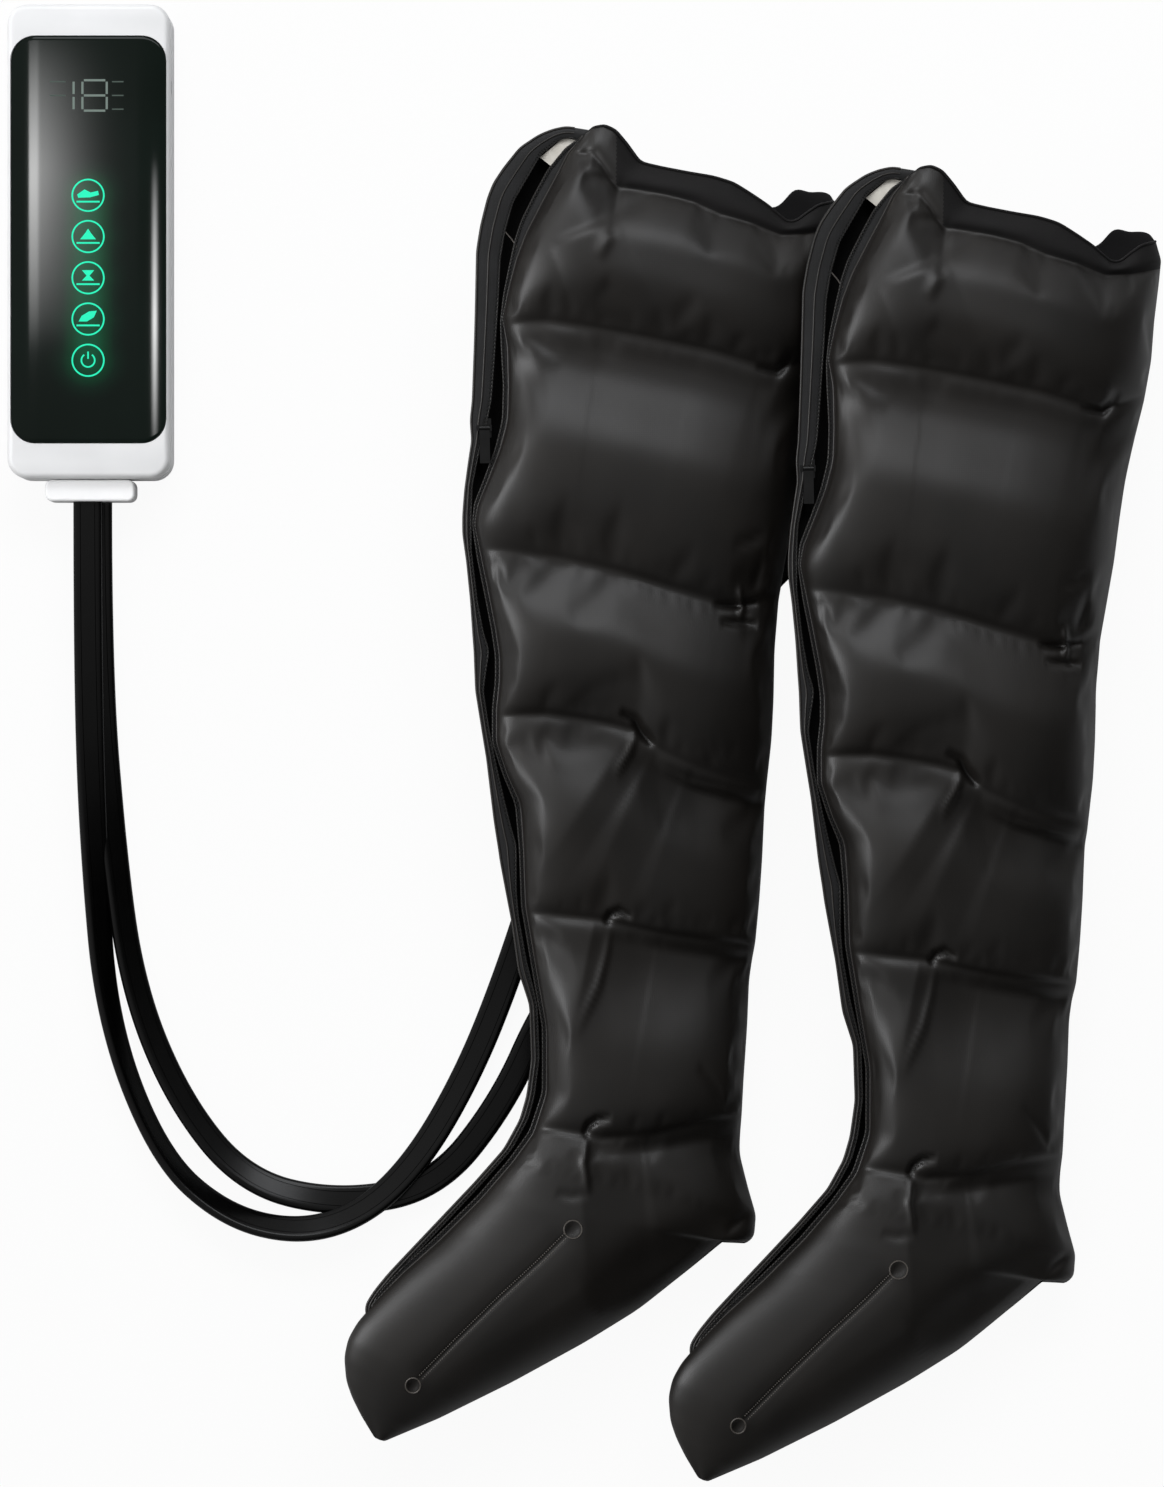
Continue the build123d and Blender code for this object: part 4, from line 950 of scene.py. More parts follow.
    def lining(self, top: np.ndarray, under: np.ndarray, top_z: np.ndarray,
               under_z: np.ndarray) -> list[tuple[np.ndarray, np.ndarray]]:
        """Rings of the inner side, from just inside the rim to the closed end deep in the leg."""
        rings = []
        points_by_row, heights_by_row = self.ring(top, under, top_z, under_z)
        for index in range(1, self.lining_rows + 1):
            depth = index / self.lining_rows
            source = min(int(depth * self.lining_depth), len(points_by_row) - 1)
            points, z = points_by_row[source], heights_by_row[source]
            middle = points.mean(axis=0)
            shrink = 0.975 - 0.10 * min(1, depth * 3)
            inner = middle + (points - middle) * shrink
            flat = 0.82 - 0.35 * depth if index > 1 else 0.9
            rings.append((inner, self.plane(inner) + (z - self.plane(points)) * flat))
        return rings

    @staticmethod
    def ring(top: np.ndarray, under: np.ndarray, top_z: np.ndarray,
             under_z: np.ndarray) -> tuple[np.ndarray, np.ndarray]:
        """Join both panels into closed rings: across the top, then back below."""
        points = np.concatenate([top, under[:, -2:0:-1]], axis=1)
        heights = np.concatenate([top_z, under_z[:, -2:0:-1]], axis=1)
        return points, heights

    def build(self) -> Object:
        """Build, inflate, finish and dress the shell.

        Returns:
            The finished object.
        """
        top, top_z, weld = self.surface(self.top_columns, False)
        under, under_z, _ = self.surface(self.under_columns, True)
        for own in (0, -1):
            top_z[:, own] = under_z[:, own] = (top_z[:, own] + under_z[:, own]) / 2
            under[:, own] = top[:, own]
        points, heights = self.ring(top, under, top_z, under_z)
        inner = self.lining(top, under, top_z, under_z)[::-1]
        all_points = np.array([p for p, _ in inner] + list(points))
        all_heights = np.array([z for _, z in inner] + list(heights))
        rows, around = all_points.shape[:2]
        faces = ring_quads(rows, around)
        faces.append(tuple(range(around - 1, -1, -1)))
        faces.append(tuple((rows - 1) * around + c for c in range(around)))
        world = place(all_points, all_heights).reshape(-1, 3)
        obj = new_mesh(f"{self.side.value}_boot_shell", world, faces)
        self.add_groups(obj, weld, around)
        outward(obj)
        self.inflate(obj)
        modifier(obj, "SUBSURF", levels=1, render_levels=1)
        self.sculpt(obj)
        obj.data.materials.clear()
        obj.data.materials.append(self.finishes.nylon)
        obj.data.materials.append(self.finishes.lining)
        obj.data.materials.append(self.finishes.binding)
        self.mark_lining(obj)
        self.mark_hem(obj)
        for polygon in obj.data.polygons:
            polygon.use_smooth = True
        return obj

    def add_groups(self, obj: Object, weld: np.ndarray, around: int) -> None:
        """Name the upper panel's points, and those that hold still while the air comes in.

        Args:
            obj: the shell, with the lining's rings first.
            weld: each outer row's weld depth.
            around: points in each ring.
        """
        upper, held = [], list(range(self.lining_rows * around))
        for row, depth in enumerate(weld):
            first = (self.lining_rows + row) * around
            upper += range(first, first + self.top_columns)
            fixed = (row < self.rim_rows_held or depth > self.weld_held
                     or row > len(weld) - self.foot_rows_held)
            held += [first + c for c in range(around) if fixed or c < 3 or c >= self.top_columns - 2]
        obj.vertex_groups.new(name="upper_panel").add(upper, 1.0, "REPLACE")
        obj.vertex_groups.new(name="welds").add(held, 1.0, "REPLACE")

    def inflate(self, obj: Object) -> None:
        """Blow the chambers up with cloth pressure while the welds hold, and cap each point's way."""
        before = coords(obj)
        activate(obj)
        mod = obj.modifiers.new("air", "CLOTH")
        for key, value in self.AIR.items():
            setattr(mod.settings, key, value)
        mod.settings.effector_weights.gravity = 0.0
        mod.collision_settings.use_collision = False
        mod.point_cache.frame_start = 1
        mod.point_cache.frame_end = self.frames + 2
        scene = bpy.context.scene
        for number in range(1, self.frames + 1):
            scene.frame_set(number)
        bpy.ops.object.modifier_apply(modifier=mod.name)
        scene.frame_set(1)
        way = coords(obj) - before
        length = np.linalg.norm(way, axis=1)
        share = np.minimum(1.0, self.way_cap * MM / np.maximum(length, 1e-9))
        set_coords(obj, before + way * share[:, None])
        log.info("%s: inflated, mean way %.2f mm", obj.name, float(length.mean()) * 1000)

    def to_sheet(self, points: np.ndarray) -> np.ndarray:
        """Turn frame points back into sheet points."""
        unit = SHEET_UNIT * (1 + (SHEET_LEVEL - points[:, 2] * 1000) / EYE_DISTANCE) * MM
        return np.stack([SHEET_ORIGIN[0] + points[:, 0] / unit,
                         SHEET_ORIGIN[1] - points[:, 1] / unit], axis=1)

    def sculpt(self, obj: Object) -> None:
        """Press the folds, gathers, weld lines and slot weld into the upper panel."""
        points = coords(obj)
        group = obj.vertex_groups["upper_panel"].index
        weight = np.zeros(len(points))
        for vertex in obj.data.vertices:
            for entry in vertex.groups:
                if entry.group == group:
                    weight[vertex.index] = entry.weight
        sheet = self.to_sheet(points)
        rise = np.zeros(len(points))
        for fold in [*FOLDS, *self.gathers()]:
            rise += self.fold_height(sheet, fold)
        rise += self.slot_height(sheet)
        points[:, 2] += rise * weight * MM
        set_coords(obj, points)

    def fold_height(self, sheet: np.ndarray, fold: Fold) -> np.ndarray:
        """Height that one fold adds, in millimetres."""
        reach = fold.width * (6 if fold.lap else 3) + 76
        low = np.min(fold.line, axis=0) - reach
        high = np.max(fold.line, axis=0) + reach
        inside = np.all((sheet > low) & (sheet < high), axis=1)
        out = np.zeros(len(sheet))
        if not inside.any():
            return out
        gap, side, share = segment_distance(sheet[inside], fold.line)
        taper = np.sin(np.pi * np.clip(share, 0.0, 1.0)) ** (fold.LAP_TAPER if fold.lap else fold.TAPER)
        if fold.lap:
            below = -gap * side
            drop = np.clip(below / fold.width, 0, 1)
            way_back = fold.RETURN_WIDTHS * fold.width + fold.RETURN_MORE
            back = np.clip((below - fold.width) / way_back, 0, 1)
            shape = -(drop * drop * (3 - 2 * drop)) * 0.5 * (1 + np.cos(np.pi * back))
        else:
            shape = np.exp(-(gap / fold.width) ** 2)
        out[inside] = fold.height * taper * shape
        return out

    def gathers(self) -> list[Fold]:
        """Long faint waves that the pressed-in welds leave in the cloth, the same each run."""
        draw = np.random.default_rng(11)
        folds = []
        for seam in (SEAM_1, SEAM_2, SEAM_3, SEAM_4):
            line = resample(seam, 60)
            for _ in range(7):
                spot = line[int(draw.uniform(6, 54))]
                way = draw.choice([-1.0, 1.0])
                start, length = draw.uniform(14, 30), draw.uniform(50, 90)
                lean = draw.uniform(-0.35, 0.35)
                foot = (spot[0] + lean * start, spot[1] + way * start)
                tip = (spot[0] + lean * length, spot[1] + way * length)
                folds.append(Fold([foot, tip], draw.uniform(10, 18), draw.uniform(-0.4, 0.35)))
        return folds

    def slot_height(self, sheet: np.ndarray) -> np.ndarray:
        """The narrow weld along the foot: a groove between two raised lips, with a ring at each end."""
        inside = np.all((sheet > SLOT_BOX[0]) & (sheet < SLOT_BOX[1]), axis=1)
        out = np.zeros(len(sheet))
        gap, _, share = segment_distance(sheet[inside], WELD_SLOT)
        groove = -1.0 * np.exp(-(gap / 2.6) ** 2) - 1.4 * np.exp(-(gap / 12.0) ** 2)
        out[inside] = groove * np.clip(np.minimum(share, 1 - share) * 14, 0, 1)
        for centre, radius in SLOT_RINGS:
            away = np.hypot(sheet[:, 0] - centre[0], sheet[:, 1] - centre[1])
            out -= 1.6 * np.exp(-(away / (0.7 * radius)) ** 4)
        return out

    def mark_lining(self, obj: Object) -> None:
        """Give the lining's material to the faces that look into the leg's room."""
        count = len(obj.data.polygons)
        centres, normals = np.empty(count * 3), np.empty(count * 3)
        obj.data.polygons.foreach_get("center", centres)
        obj.data.polygons.foreach_get("normal", normals)
        centres, normals = centres.reshape(-1, 3), normals.reshape(-1, 3)
        sheet = self.to_sheet(centres)
        plane = self.plane(sheet) * MM + self.front_lift(sheet) * 0.3 * MM
        inner = (normals[:, 2] * (centres[:, 2] - plane) < 0) & (sheet[:, 1] < self.lining_end)
        for polygon in obj.data.polygons:
            if inner[polygon.index]:
                polygon.material_index = self.LINING_SLOT

    def mark_hem(self, obj: Object) -> None:
        """Give the faces between the rim and the hem line the binding's material."""
        rim, hem = np.array(RIM, float), np.array(HEM, float)
        for polygon in obj.data.polygons:
            if polygon.material_index or polygon.normal.z < 0.0:
                continue
            spot = self.to_sheet(np.array([polygon.center]))[0]
            if spot[0] < 616 or spot[1] > 245:
                continue
            low = np.interp(spot[0], hem[:, 0], hem[:, 1])
            high = np.interp(spot[0], rim[:, 0], rim[:, 1])
            if high - 6 < spot[1] < low:
                polygon.material_index = self.BINDING_SLOT


@dataclass
class ZipSide:
    """The zip side of one boot: gusset, tapes, teeth, piping and label."""

    side: Side
    finishes: Finishes
    skin: BootSkin
    tape_level: float = 1.2
    tape_thickness: float = 1.2
    tooth_pitch: float = 2.6
    samples: int = 460
    outer: Line = field(default_factory=lambda: [
        (592, 130), (580, 128), (566, 126), (552, 129), (539, 134), (519, 147), (503, 167), (493, 182),
        (487, 197), (480, 225), (476, 250), (475, 300), (474, 340), (472, 400), (470, 420), (472, 440),
        (469, 460), (465, 490), (463, 515), (463, 533), (467, 560), (471, 600), (474, 650), (476, 690),
        (481, 721), (487, 758), (494, 820), (500, 860), (512, 920), (519, 971), (530, 1004),
        (532, 1060), (527, 1096), (520, 1120), (504, 1149), (475, 1182), (439, 1220), (403, 1258),
        (388, 1274), (375, 1290), (366, 1304), (366, 1315), (374, 1324)])
    far_inner: Line = field(default_factory=lambda: [
        (596, 145), (586, 141), (576, 138), (567, 137), (559, 139), (541, 153), (527, 177), (513, 201),
        (505, 229), (500, 258), (498, 300), (496, 330), (494, 360), (491, 400), (485, 428), (479, 450),
        (472, 485), (471, 515), (471, 550), (477, 600), (483, 632), (489, 650), (486, 668), (483, 690),
        (489, 730), (496, 765), (504, 800), (511, 828), (516, 844), (516, 865), (516, 890), (518, 915),
        (526, 960), (537, 1004), (539, 1058), (534, 1096), (528, 1118), (512, 1148), (484, 1180),
        (449, 1218), (412, 1257), (394, 1277), (381, 1292), (373, 1303), (371, 1313), (376, 1322)])
    near_outer: Line = field(default_factory=lambda: [
        (586, 134), (576, 141), (566, 148), (548, 170), (534, 196), (522, 220), (516, 238), (510, 265),
        (504, 295), (501, 322), (502, 350), (504, 385), (503, 420), (496, 448), (485, 478), (475, 503),
        (473, 524), (478, 558), (485, 592), (492, 628), (496, 655), (496, 680), (493, 708), (493, 742),
        (504, 775), (516, 803), (520, 848), (522, 905), (533, 970), (543, 1027), (543, 1092),
        (530, 1131), (509, 1160), (478, 1196), (436, 1237), (400, 1270), (385, 1286), (375, 1299),
        (373, 1310), (378, 1320)])
    label: Line = field(default_factory=lambda: [(540, 157), (564, 137), (580, 141), (558, 171)])
    bar_tacks: tuple[Line, ...] = (
        [(505, 231), (512, 239), (517, 247)], [(474, 511), (478, 514)], [(475, 517), (479, 519)],
        [(476, 523), (480, 525)])

    def level(self, points: np.ndarray, extra: float) -> np.ndarray:
        """Heights on the zip side, an extra above its plane, in millimetres."""
        return self.skin.plane(points) + self.skin.front_lift(points) + extra

    def ribbon(self, name: str, outer: np.ndarray, inner: np.ndarray, low: float, high: float,
               crown: float = 0.0, columns: int = 5) -> Object:
        """Make a closed band between two sampled lines.

        Args:
            name: the piece's name.
            outer: sheet points of one edge.
            inner: sheet points of the other edge, as many.
            low: underside above the zip side's plane, in millimetres.
            high: top side.
            crown: how much higher the middle is.
            columns: points across.

        Returns:
            The object.
        """
        lines, heights = [], []
        for start, end, level, bow in ((0, 1, high, crown), (1, 0, low, 0.0)):
            for share in np.linspace(start, end, columns):
                line = outer + (inner - outer) * share
                lines.append(line)
                heights.append(self.level(line, level + bow * (1 - (2 * share - 1) ** 2)))
        return self.band(name, lines, heights, 50)

    def band(self, name: str, lines: list[np.ndarray], heights: list[np.ndarray],
             angle: float) -> Object:
        """Close a loop of sheet lines, each at its heights, into one piece."""
        grid = place(np.array(lines), np.array(heights))
        around, along = grid.shape[:2]
        faces = []
        for a in range(around):
            b = (a + 1) % around
            faces += [(a * along + i, b * along + i, b * along + i + 1, a * along + i + 1)
                      for i in range(along - 1)]
        faces.append(tuple(a * along for a in range(around)))
        faces.append(tuple(a * along + along - 1 for a in range(around - 1, -1, -1)))
        return finished(f"{self.side.value}_{name}", grid.reshape(-1, 3), faces, angle)

    def cord_along(self, name: str, line: np.ndarray, radius: float, extra: float) -> Object:
        """Make a thin round piping along a sheet line."""
        return tube_mesh(f"{self.side.value}_{name}", place(line, self.level(line, extra)), radius, 8)

    def build(self) -> list[Piece]:
        """Build all pieces.

        Returns:
            Each piece with its material slot and the CAD nodes that it replaces.
        """
        side = self.side.value
        outer = smoothed(resample(self.outer, self.samples), 3)
        inner = smoothed(matched(outer, self.far_inner), 3)
        near_out = smoothed(matched(outer, self.near_outer), 3)
        near = smoothed(matched(outer, [*FRONT_EDGE[:36], (378, 1322)]), 3)
        top = self.tape_level + self.tape_thickness
        far_tape = self.ribbon("far_tape", outer, inner, self.tape_level, top, 0.6)
        near_tape = self.ribbon("near_tape", near_out, near + (near - near_out) * 0.6, self.tape_level,
                                top, 0.5)
        gusset = self.gusset(inner, near)
        pieces = []

        def add(piece: Object, finish: Material, slot: str, *nodes: str) -> None:
            """Dress a piece and list it with its slot and the CAD nodes that it replaces."""
            dress(piece, finish)
            pieces.append((piece, slot, tuple(f"{side}_{node}" for node in nodes)))

        add(far_tape, self.finishes.tape, "tape", "far_zip_tape")
        add(near_tape, self.finishes.tape, "tape", "near_zip_tape")
        # the gusset's near-black colour is partly painted shade for the gap between the tapes
        add(gusset, self.finishes.void, "lining", "front_gusset")
        run = slice(6, self.samples - 4)
        # the pipings' lighter colour is a painted highlight along the zip edges
        for name, line, radius, extra in (
                ("far_piping", outer + (inner - outer) * 0.06, 0.9, top),
                ("far_ridge", outer + (inner - outer) * 0.52, 0.7, top + 0.5),
                ("far_edge", inner, 0.55, top),
                ("near_piping", near_out, 0.8, top + 0.4),
                ("panel_piping", near, 1.0, top + 0.6)):
            add(self.cord_along(name, line[run], radius, extra), self.finishes.piping, "coated_nylon")
        add(self.teeth(inner, near_out), self.finishes.coil, "zip_plastic", "zip_coil")
        add(self.label_piece(), self.finishes.label, "label_white", "size_label")
        for number, tack in enumerate(self.bar_tacks, 1):
            thread = self.cord_along(f"bar_tack_{number}", resample(tack, 5), 0.45, top + 0.4)
            add(thread, self.finishes.thread, "tape")
        return pieces

    def gusset(self, inner: np.ndarray, near: np.ndarray) -> Object:
        """The cloth between the tapes, sagging below them; its near-black colour is partly painted shade.
        """
        width = np.hypot(*(inner - near).T)
        lines, heights = [], []
        for start, end, level in ((-0.15, 1.1, -0.6), (1.1, -0.15, -2.0)):
            for share in np.linspace(start, end, 9):
                line = inner + (near - inner) * share
                sag = np.clip(width * 0.35, 1.0, 14.0) * (1 - (2 * np.clip(share, 0, 1) - 1) ** 2)
                lines.append(line)
                heights.append(self.level(line, level) - sag)
        return self.band("gusset", lines, heights, 60)

    def teeth(self, inner: np.ndarray, near_out: np.ndarray) -> Object:
        """Two rows of small teeth along the tapes' free edges."""
        points, faces = [], []
        box = ((0, 3, 2, 1), (4, 5, 6, 7), (0, 1, 5, 4), (1, 2, 6, 5), (2, 3, 7, 6), (3, 0, 4, 7))
        for line, other in ((inner, near_out), (near_out, inner)):
            length = np.hypot(*np.diff(line, axis=0).T).sum() * SHEET_UNIT
            number = int(length / self.tooth_pitch)
            at = np.linspace(0, 1, number)
            spots = interpolated(at, np.linspace(0, 1, len(line)), line)
            toward = interpolated(at, np.linspace(0, 1, len(other)), other) - spots
            toward /= np.maximum(np.hypot(*toward.T), 1e-6)[:, None]
            run = np.gradient(spots, axis=0)
            run /= np.maximum(np.hypot(*run.T), 1e-6)[:, None]
            base = self.level(spots, self.tape_level + self.tape_thickness)
            for spot, across, along, z in zip(spots, toward, run, base):
                f = len(points)
                for height, narrow, short in ((-0.2, 1, 1), (1.5, 0.8, 0.75)):
                    for a, b in ((-2.4, -1.1), (1.0, -0.8), (1.0, 0.8), (-2.4, 1.1)):
                        corner = spot + across * a * narrow + along * b * short
                        points.append(place(corner, np.array(z + height)))
                faces += [tuple(f + corner for corner in face) for face in box]
        return finished(f"{self.side.value}_zip_teeth", np.array(points), faces, 30)

    def label_piece(self) -> Object:
        """The blank size label sewn inside the open flap, with a slight curl."""
        across, along = 10, 8
        a, b, c, d = (np.array(p, float) for p in self.label)
        points, heights = [], []
        for layer in (0.0, -0.35):
            for v in np.linspace(0, 1, along):
                for u in np.linspace(0, 1, across):
                    spot = (a * (1 - u) + b * u) * (1 - v) + (d * (1 - u) + c * u) * v
                    points.append(spot)
                    heights.append(0.4 + layer + 1.2 * math.sin(math.pi * u))
        pts = np.array(points)
        world = place(pts, self.level(pts, 0.0) + np.array(heights))
        return finished(f"{self.side.value}_label", world, slab_faces(across, along), 40)


def tube_mesh(name: str, path: np.ndarray, radius: float, around: int) -> Object:
    """Sweep a circle along a path.

    Args:
        name: the piece's name.
        path: frame points in metres.
        radius: in millimetres.
        around: points around.

    Returns:
        The closed tube.
    """
    _, side, up = directions(path)
    rings = [path + (side * math.cos(turn) + up * math.sin(turn)) * radius * MM
             for turn in np.linspace(0, 2 * np.pi, around, endpoint=False)]
    return finished(name, np.stack(rings, axis=1).reshape(-1, 3), tube_faces(len(path), around), 60)


def stitch_row(name: str, path: np.ndarray, radius: float, share: float) -> Object:
    """Lay one short raised stitch over each step of a path.

    Args:
        name: the piece's name.
        path: frame points in metres, one step for each stitch.
        radius: half the thread's thickness, in millimetres.
        share: how much of each step the stitch covers.

    Returns:
        All stitches as one object.
    """
    points, faces = [], []
    stitch = ring_quads(4, 4) + [(3, 2, 1, 0), (12, 13, 14, 15)]
    for start, end in zip(path[:-1], path[1:]):
        run = (end - start) * share
        side = np.cross(run, (0.0, 0.0, 1.0))
        side *= radius * MM / np.linalg.norm(side)
        up = np.array([0.0, 0.0, radius * MM * 0.8])
        first = len(points)
        for step, size, lift in ((0.0, 0.4, -0.6), (0.25, 1.0, 0.2), (0.75, 1.0, 0.2), (1.0, 0.4, -0.6)):
            middle = start + run * step + up * lift
            points += [middle - side * size, middle + up * size, middle + side * size, middle - up * size]
        faces += [tuple(first + c for c in face) for face in stitch]
    return finished(name, np.array(points), faces, 60)


class Boot:
    """One whole boot: shell, hem, zip side and the slot weld's trim."""

    CHAMBERS = ("chamber_1_upper_thigh", "chamber_2_lower_thigh", "chamber_3_knee", "chamber_4_calf",
                "chamber_5_shin", "chamber_6_foot", "cuff_hem")

    def __init__(self, side: Side, finishes: Finishes) -> None:
        """Keep the side and the finishes."""
        self.side = side
        self.finishes = finishes

    def build(self) -> list[Piece]:
        """Build the left boot's pieces in place."""
        name = self.side.value
        skin = BootSkin(self.side, self.finishes)
        shell = skin.build()
        pieces = [(shell, "coated_nylon", tuple(f"{name}_{c}" for c in self.CHAMBERS))]
        pieces += ZipSide(self.side, self.finishes, skin).build()
        pieces += self.slot_trim(shell)
        pieces += self.hem_trim(skin)
        return pieces

    @staticmethod
    def surface_heights(shell: Object, sheet: np.ndarray) -> np.ndarray:
        """Heights of the shell's upper side under sheet points, in millimetres."""
        eye = Vector((0.0, 0.0, EYE_DISTANCE + SHEET_LEVEL)) * MM
        out = []
        for point in sheet:
            z = SHEET_LEVEL
            for _ in range(3):
                aim = (Vector(place(point, np.array(z))) - eye).normalized()
                hit, where, _, _ = shell.ray_cast(eye, aim)
                if hit:
                    z = where.z / MM
            out.append(z)
        return np.array(out)

    def slot_trim(self, shell: Object) -> list[Piece]:
        """Stitches on both lips and the end rings of the slot weld on the foot."""
        pieces = []
        name = self.side.value
        middle = resample(WELD_SLOT, 60)
        run = np.gradient(middle, axis=0)
        run /= np.hypot(*run.T)[:, None]
        normal = np.stack([-run[:, 1], run[:, 0]], axis=1)
        for label, off in (("upper", -2.4), ("lower", 2.4)):
            line = resample(middle + normal * off, 88)[3:-3]
            path = place(line, self.surface_heights(shell, line) + 0.15)
            pieces.append(stitch_row(f"{name}_slot_stitches_{label}", path, 0.5, 0.66))
        turns = np.linspace(0, 2 * np.pi, 33)
        for number, (centre, radius) in enumerate(SLOT_RINGS, 1):
            line = np.stack([centre[0] + radius * np.cos(turns),
                             centre[1] + radius * np.sin(turns)], axis=1)
            path = place(line, self.surface_heights(shell, line) + 0.1)
            pieces.append(tube_mesh(f"{name}_slot_ring_{number}", path, 0.55, 6))
        for piece in pieces:
            dress(piece, self.finishes.thread)
        return [(piece, "coated_nylon", ()) for piece in pieces]

    def hem_trim(self, skin: BootSkin) -> list[Piece]:
        """A thin piping along the rim of the upper panel."""
        top, top_z, _ = skin.surface(skin.top_columns, False)
        path = place(smoothed(top[0], 1) + np.array([0.0, 1.8]), top_z[0] + 0.6)[1:-1]
        rim = tube_mesh(f"{self.side.value}_rim_piping", path, 1.0, 8)
        dress(rim, self.finishes.binding)
        return [(rim, "coated_nylon", ())]


def copied(piece: Object, name: str) -> Object:
    """Copy a left boot's piece, with its own mesh, to the right boot's place."""
    twin = piece.copy()
    twin.data = piece.data.copy()
    twin.name = name
    twin.data.name = name
    bpy.context.scene.collection.objects.link(twin)
    shift = np.array([BOOT_STEP[0] * SHEET_UNIT, -BOOT_STEP[1] * SHEET_UNIT, 0.0]) * MM
    set_coords(twin, coords(twin) + shift)
    return twin


# ------------------------------------------------------------------ hoses
@dataclass
class Hose:
    """A flat glossy hose: a ribbon with round edges and two fine grooves, turned on edge in its bends."""

    name: str
    route: list[Triple]
    turns: list[float]
    finishes: Finishes
    width: float = 20.0
    thickness: float = 6.4
    side_round: float = 2.9
    groove: float = 0.5
    floor_clearance: float = 0.4

    def spline_points(self) -> np.ndarray:
        """Read the smooth centre line of the route, in metres."""
        curve = bpy.data.curves.new(self.name + "_route", "CURVE")
        curve.dimensions = "3D"
        spline = curve.splines.new("NURBS")
        spline.points.add(len(self.route) - 1)
        for point, spot in zip(spline.points, self.route):
            point.co = (spot[0] * MM, spot[1] * MM, spot[2] * MM, 1.0)
        spline.order_u = 3
        spline.use_endpoint_u = True
        curve.resolution_u = 24
        obj = bpy.data.objects.new(self.name + "_route", curve)
        bpy.context.scene.collection.objects.link(obj)
        bpy.context.view_layer.update()
        mesh = bpy.data.meshes.new_from_object(obj)
        points = np.array([v.co for v in mesh.vertices])
        bpy.data.objects.remove(obj)
        bpy.data.meshes.remove(mesh)
        return points

    def profile(self) -> np.ndarray:
        """The section's outline, in millimetres: flat faces with two grooves and round sides."""
        half, rise, r = self.width / 2, self.thickness / 2, self.side_round
        grooves = [(-0.52, 0.0), (-0.50, self.groove), (-0.48, 0.0), (0.0, 0.0), (0.48, 0.0),
                   (0.50, self.groove), (0.52, 0.0)]
        top = [(x * half, rise - depth) for x, depth in grooves]
        bottom = [(-x, -y) for x, y in top]
        turns = np.linspace(0, math.pi / 2, 6)
        right = [(half - r + r * math.sin(a), (rise - r) + r * math.cos(a)) for a in turns]
        lower = [(half - r + r * math.cos(a), -(rise - r) - r * math.sin(a)) for a in turns]
        left = [(-x, -y) for x, y in right]
        upper = [(-x, -y) for x, y in lower]
        return np.array([*top, *right, *lower, *bottom, *left, *upper])

    def build(self) -> tuple[Object, np.ndarray]:
        """Sweep the section along the route.

        Returns:
            The hose and its centre line.
        """
        path = self.spline_points()
        run, side, up = directions(path)
        along = np.concatenate([[0], np.cumsum(np.linalg.norm(np.diff(path, axis=0), axis=1))])
        knots = np.linspace(0, 1, len(self.turns))
        roll = np.radians(np.interp(along / along[-1], knots, self.turns))
        roll = averaged(roll, 41)
        wide = side * np.cos(roll)[:, None] + up * np.sin(roll)[:, None]
        tall = np.cross(wide, run)
        shape = self.profile() * MM
        grid = (path[:, None, :] + shape[None, :, 0:1] * wide[:, None, :]
                + shape[None, :, 1:2] * tall[:, None, :])
        lowest = grid[:, :, 2].min(axis=1)
        grid[:, :, 2] += np.maximum(0, self.floor_clearance * MM - lowest)[:, None]
        obj = finished(self.name, grid.reshape(-1, 3), tube_faces(len(path), len(shape)), 50)
        dress(obj, self.finishes.hose)
        return obj, path


LEFT_ROUTE = [
    (-343.4, 168.0, 25.75), (-343.4, 47.0, 25.75), (-340.3, -78, 14.5), (-332, -193.8, 8.5),
    (-295.2, -288.2, 10.5), (-249, -329.5, 12.5), (-196.8, -341.3, 17.5), (-151.4, -327.3, 17.5),
    (-113.1, -289.6, 13.5), (-78.3, -228.7, 9.2), (-51.8, -162.3, 5.7), (-28, -88.8, 3.7),
    (-32.9, -18.9, 3.7), (-46, 44.1, 3.7), (-59, 102, 3.7), (-66.5, 157.4, 4.2), (-47.0, 205.6, 4.2)]
LEFT_TURNS = [0, 0, 8, 25, 45, 58, 60, 50, 35, 22, 8, 0, 0, 0, 0, 0, 0]
RIGHT_ROUTE = [
    (-337.4, 168.0, 16.25), (-337.4, 47.0, 16.25), (-327.4, -74.8, 6.5), (-313.4, -172.8, 7.7),
    (-281.2, -249.7, 10.7), (-235.7, -305.7, 10.7), (-172.8, -321.8, 6.7), (-102.8, -310.6, 8.7),
    (-55.3, -251.1, 8.7), (-25.9, -185.4, 3.7), (-3.7, -162, 3.7), (25, -144, 3.7), (58, -135, 3.7),
    (86, -118, 3.7), (104, -89, 3.7), (111, -45, 3.7), (113, 15, 3.7), (113, 66, 3.7), (121, 106, 3.7),
    (150, 134, 4.2), (173.8, 178.0, 4.2)]
RIGHT_TURNS = [0, 0, 8, 22, 40, 45, 30, 35, 35, 20, 0, 0, 0, 0, 0, 0, 0, 0, 0, 0, 0]


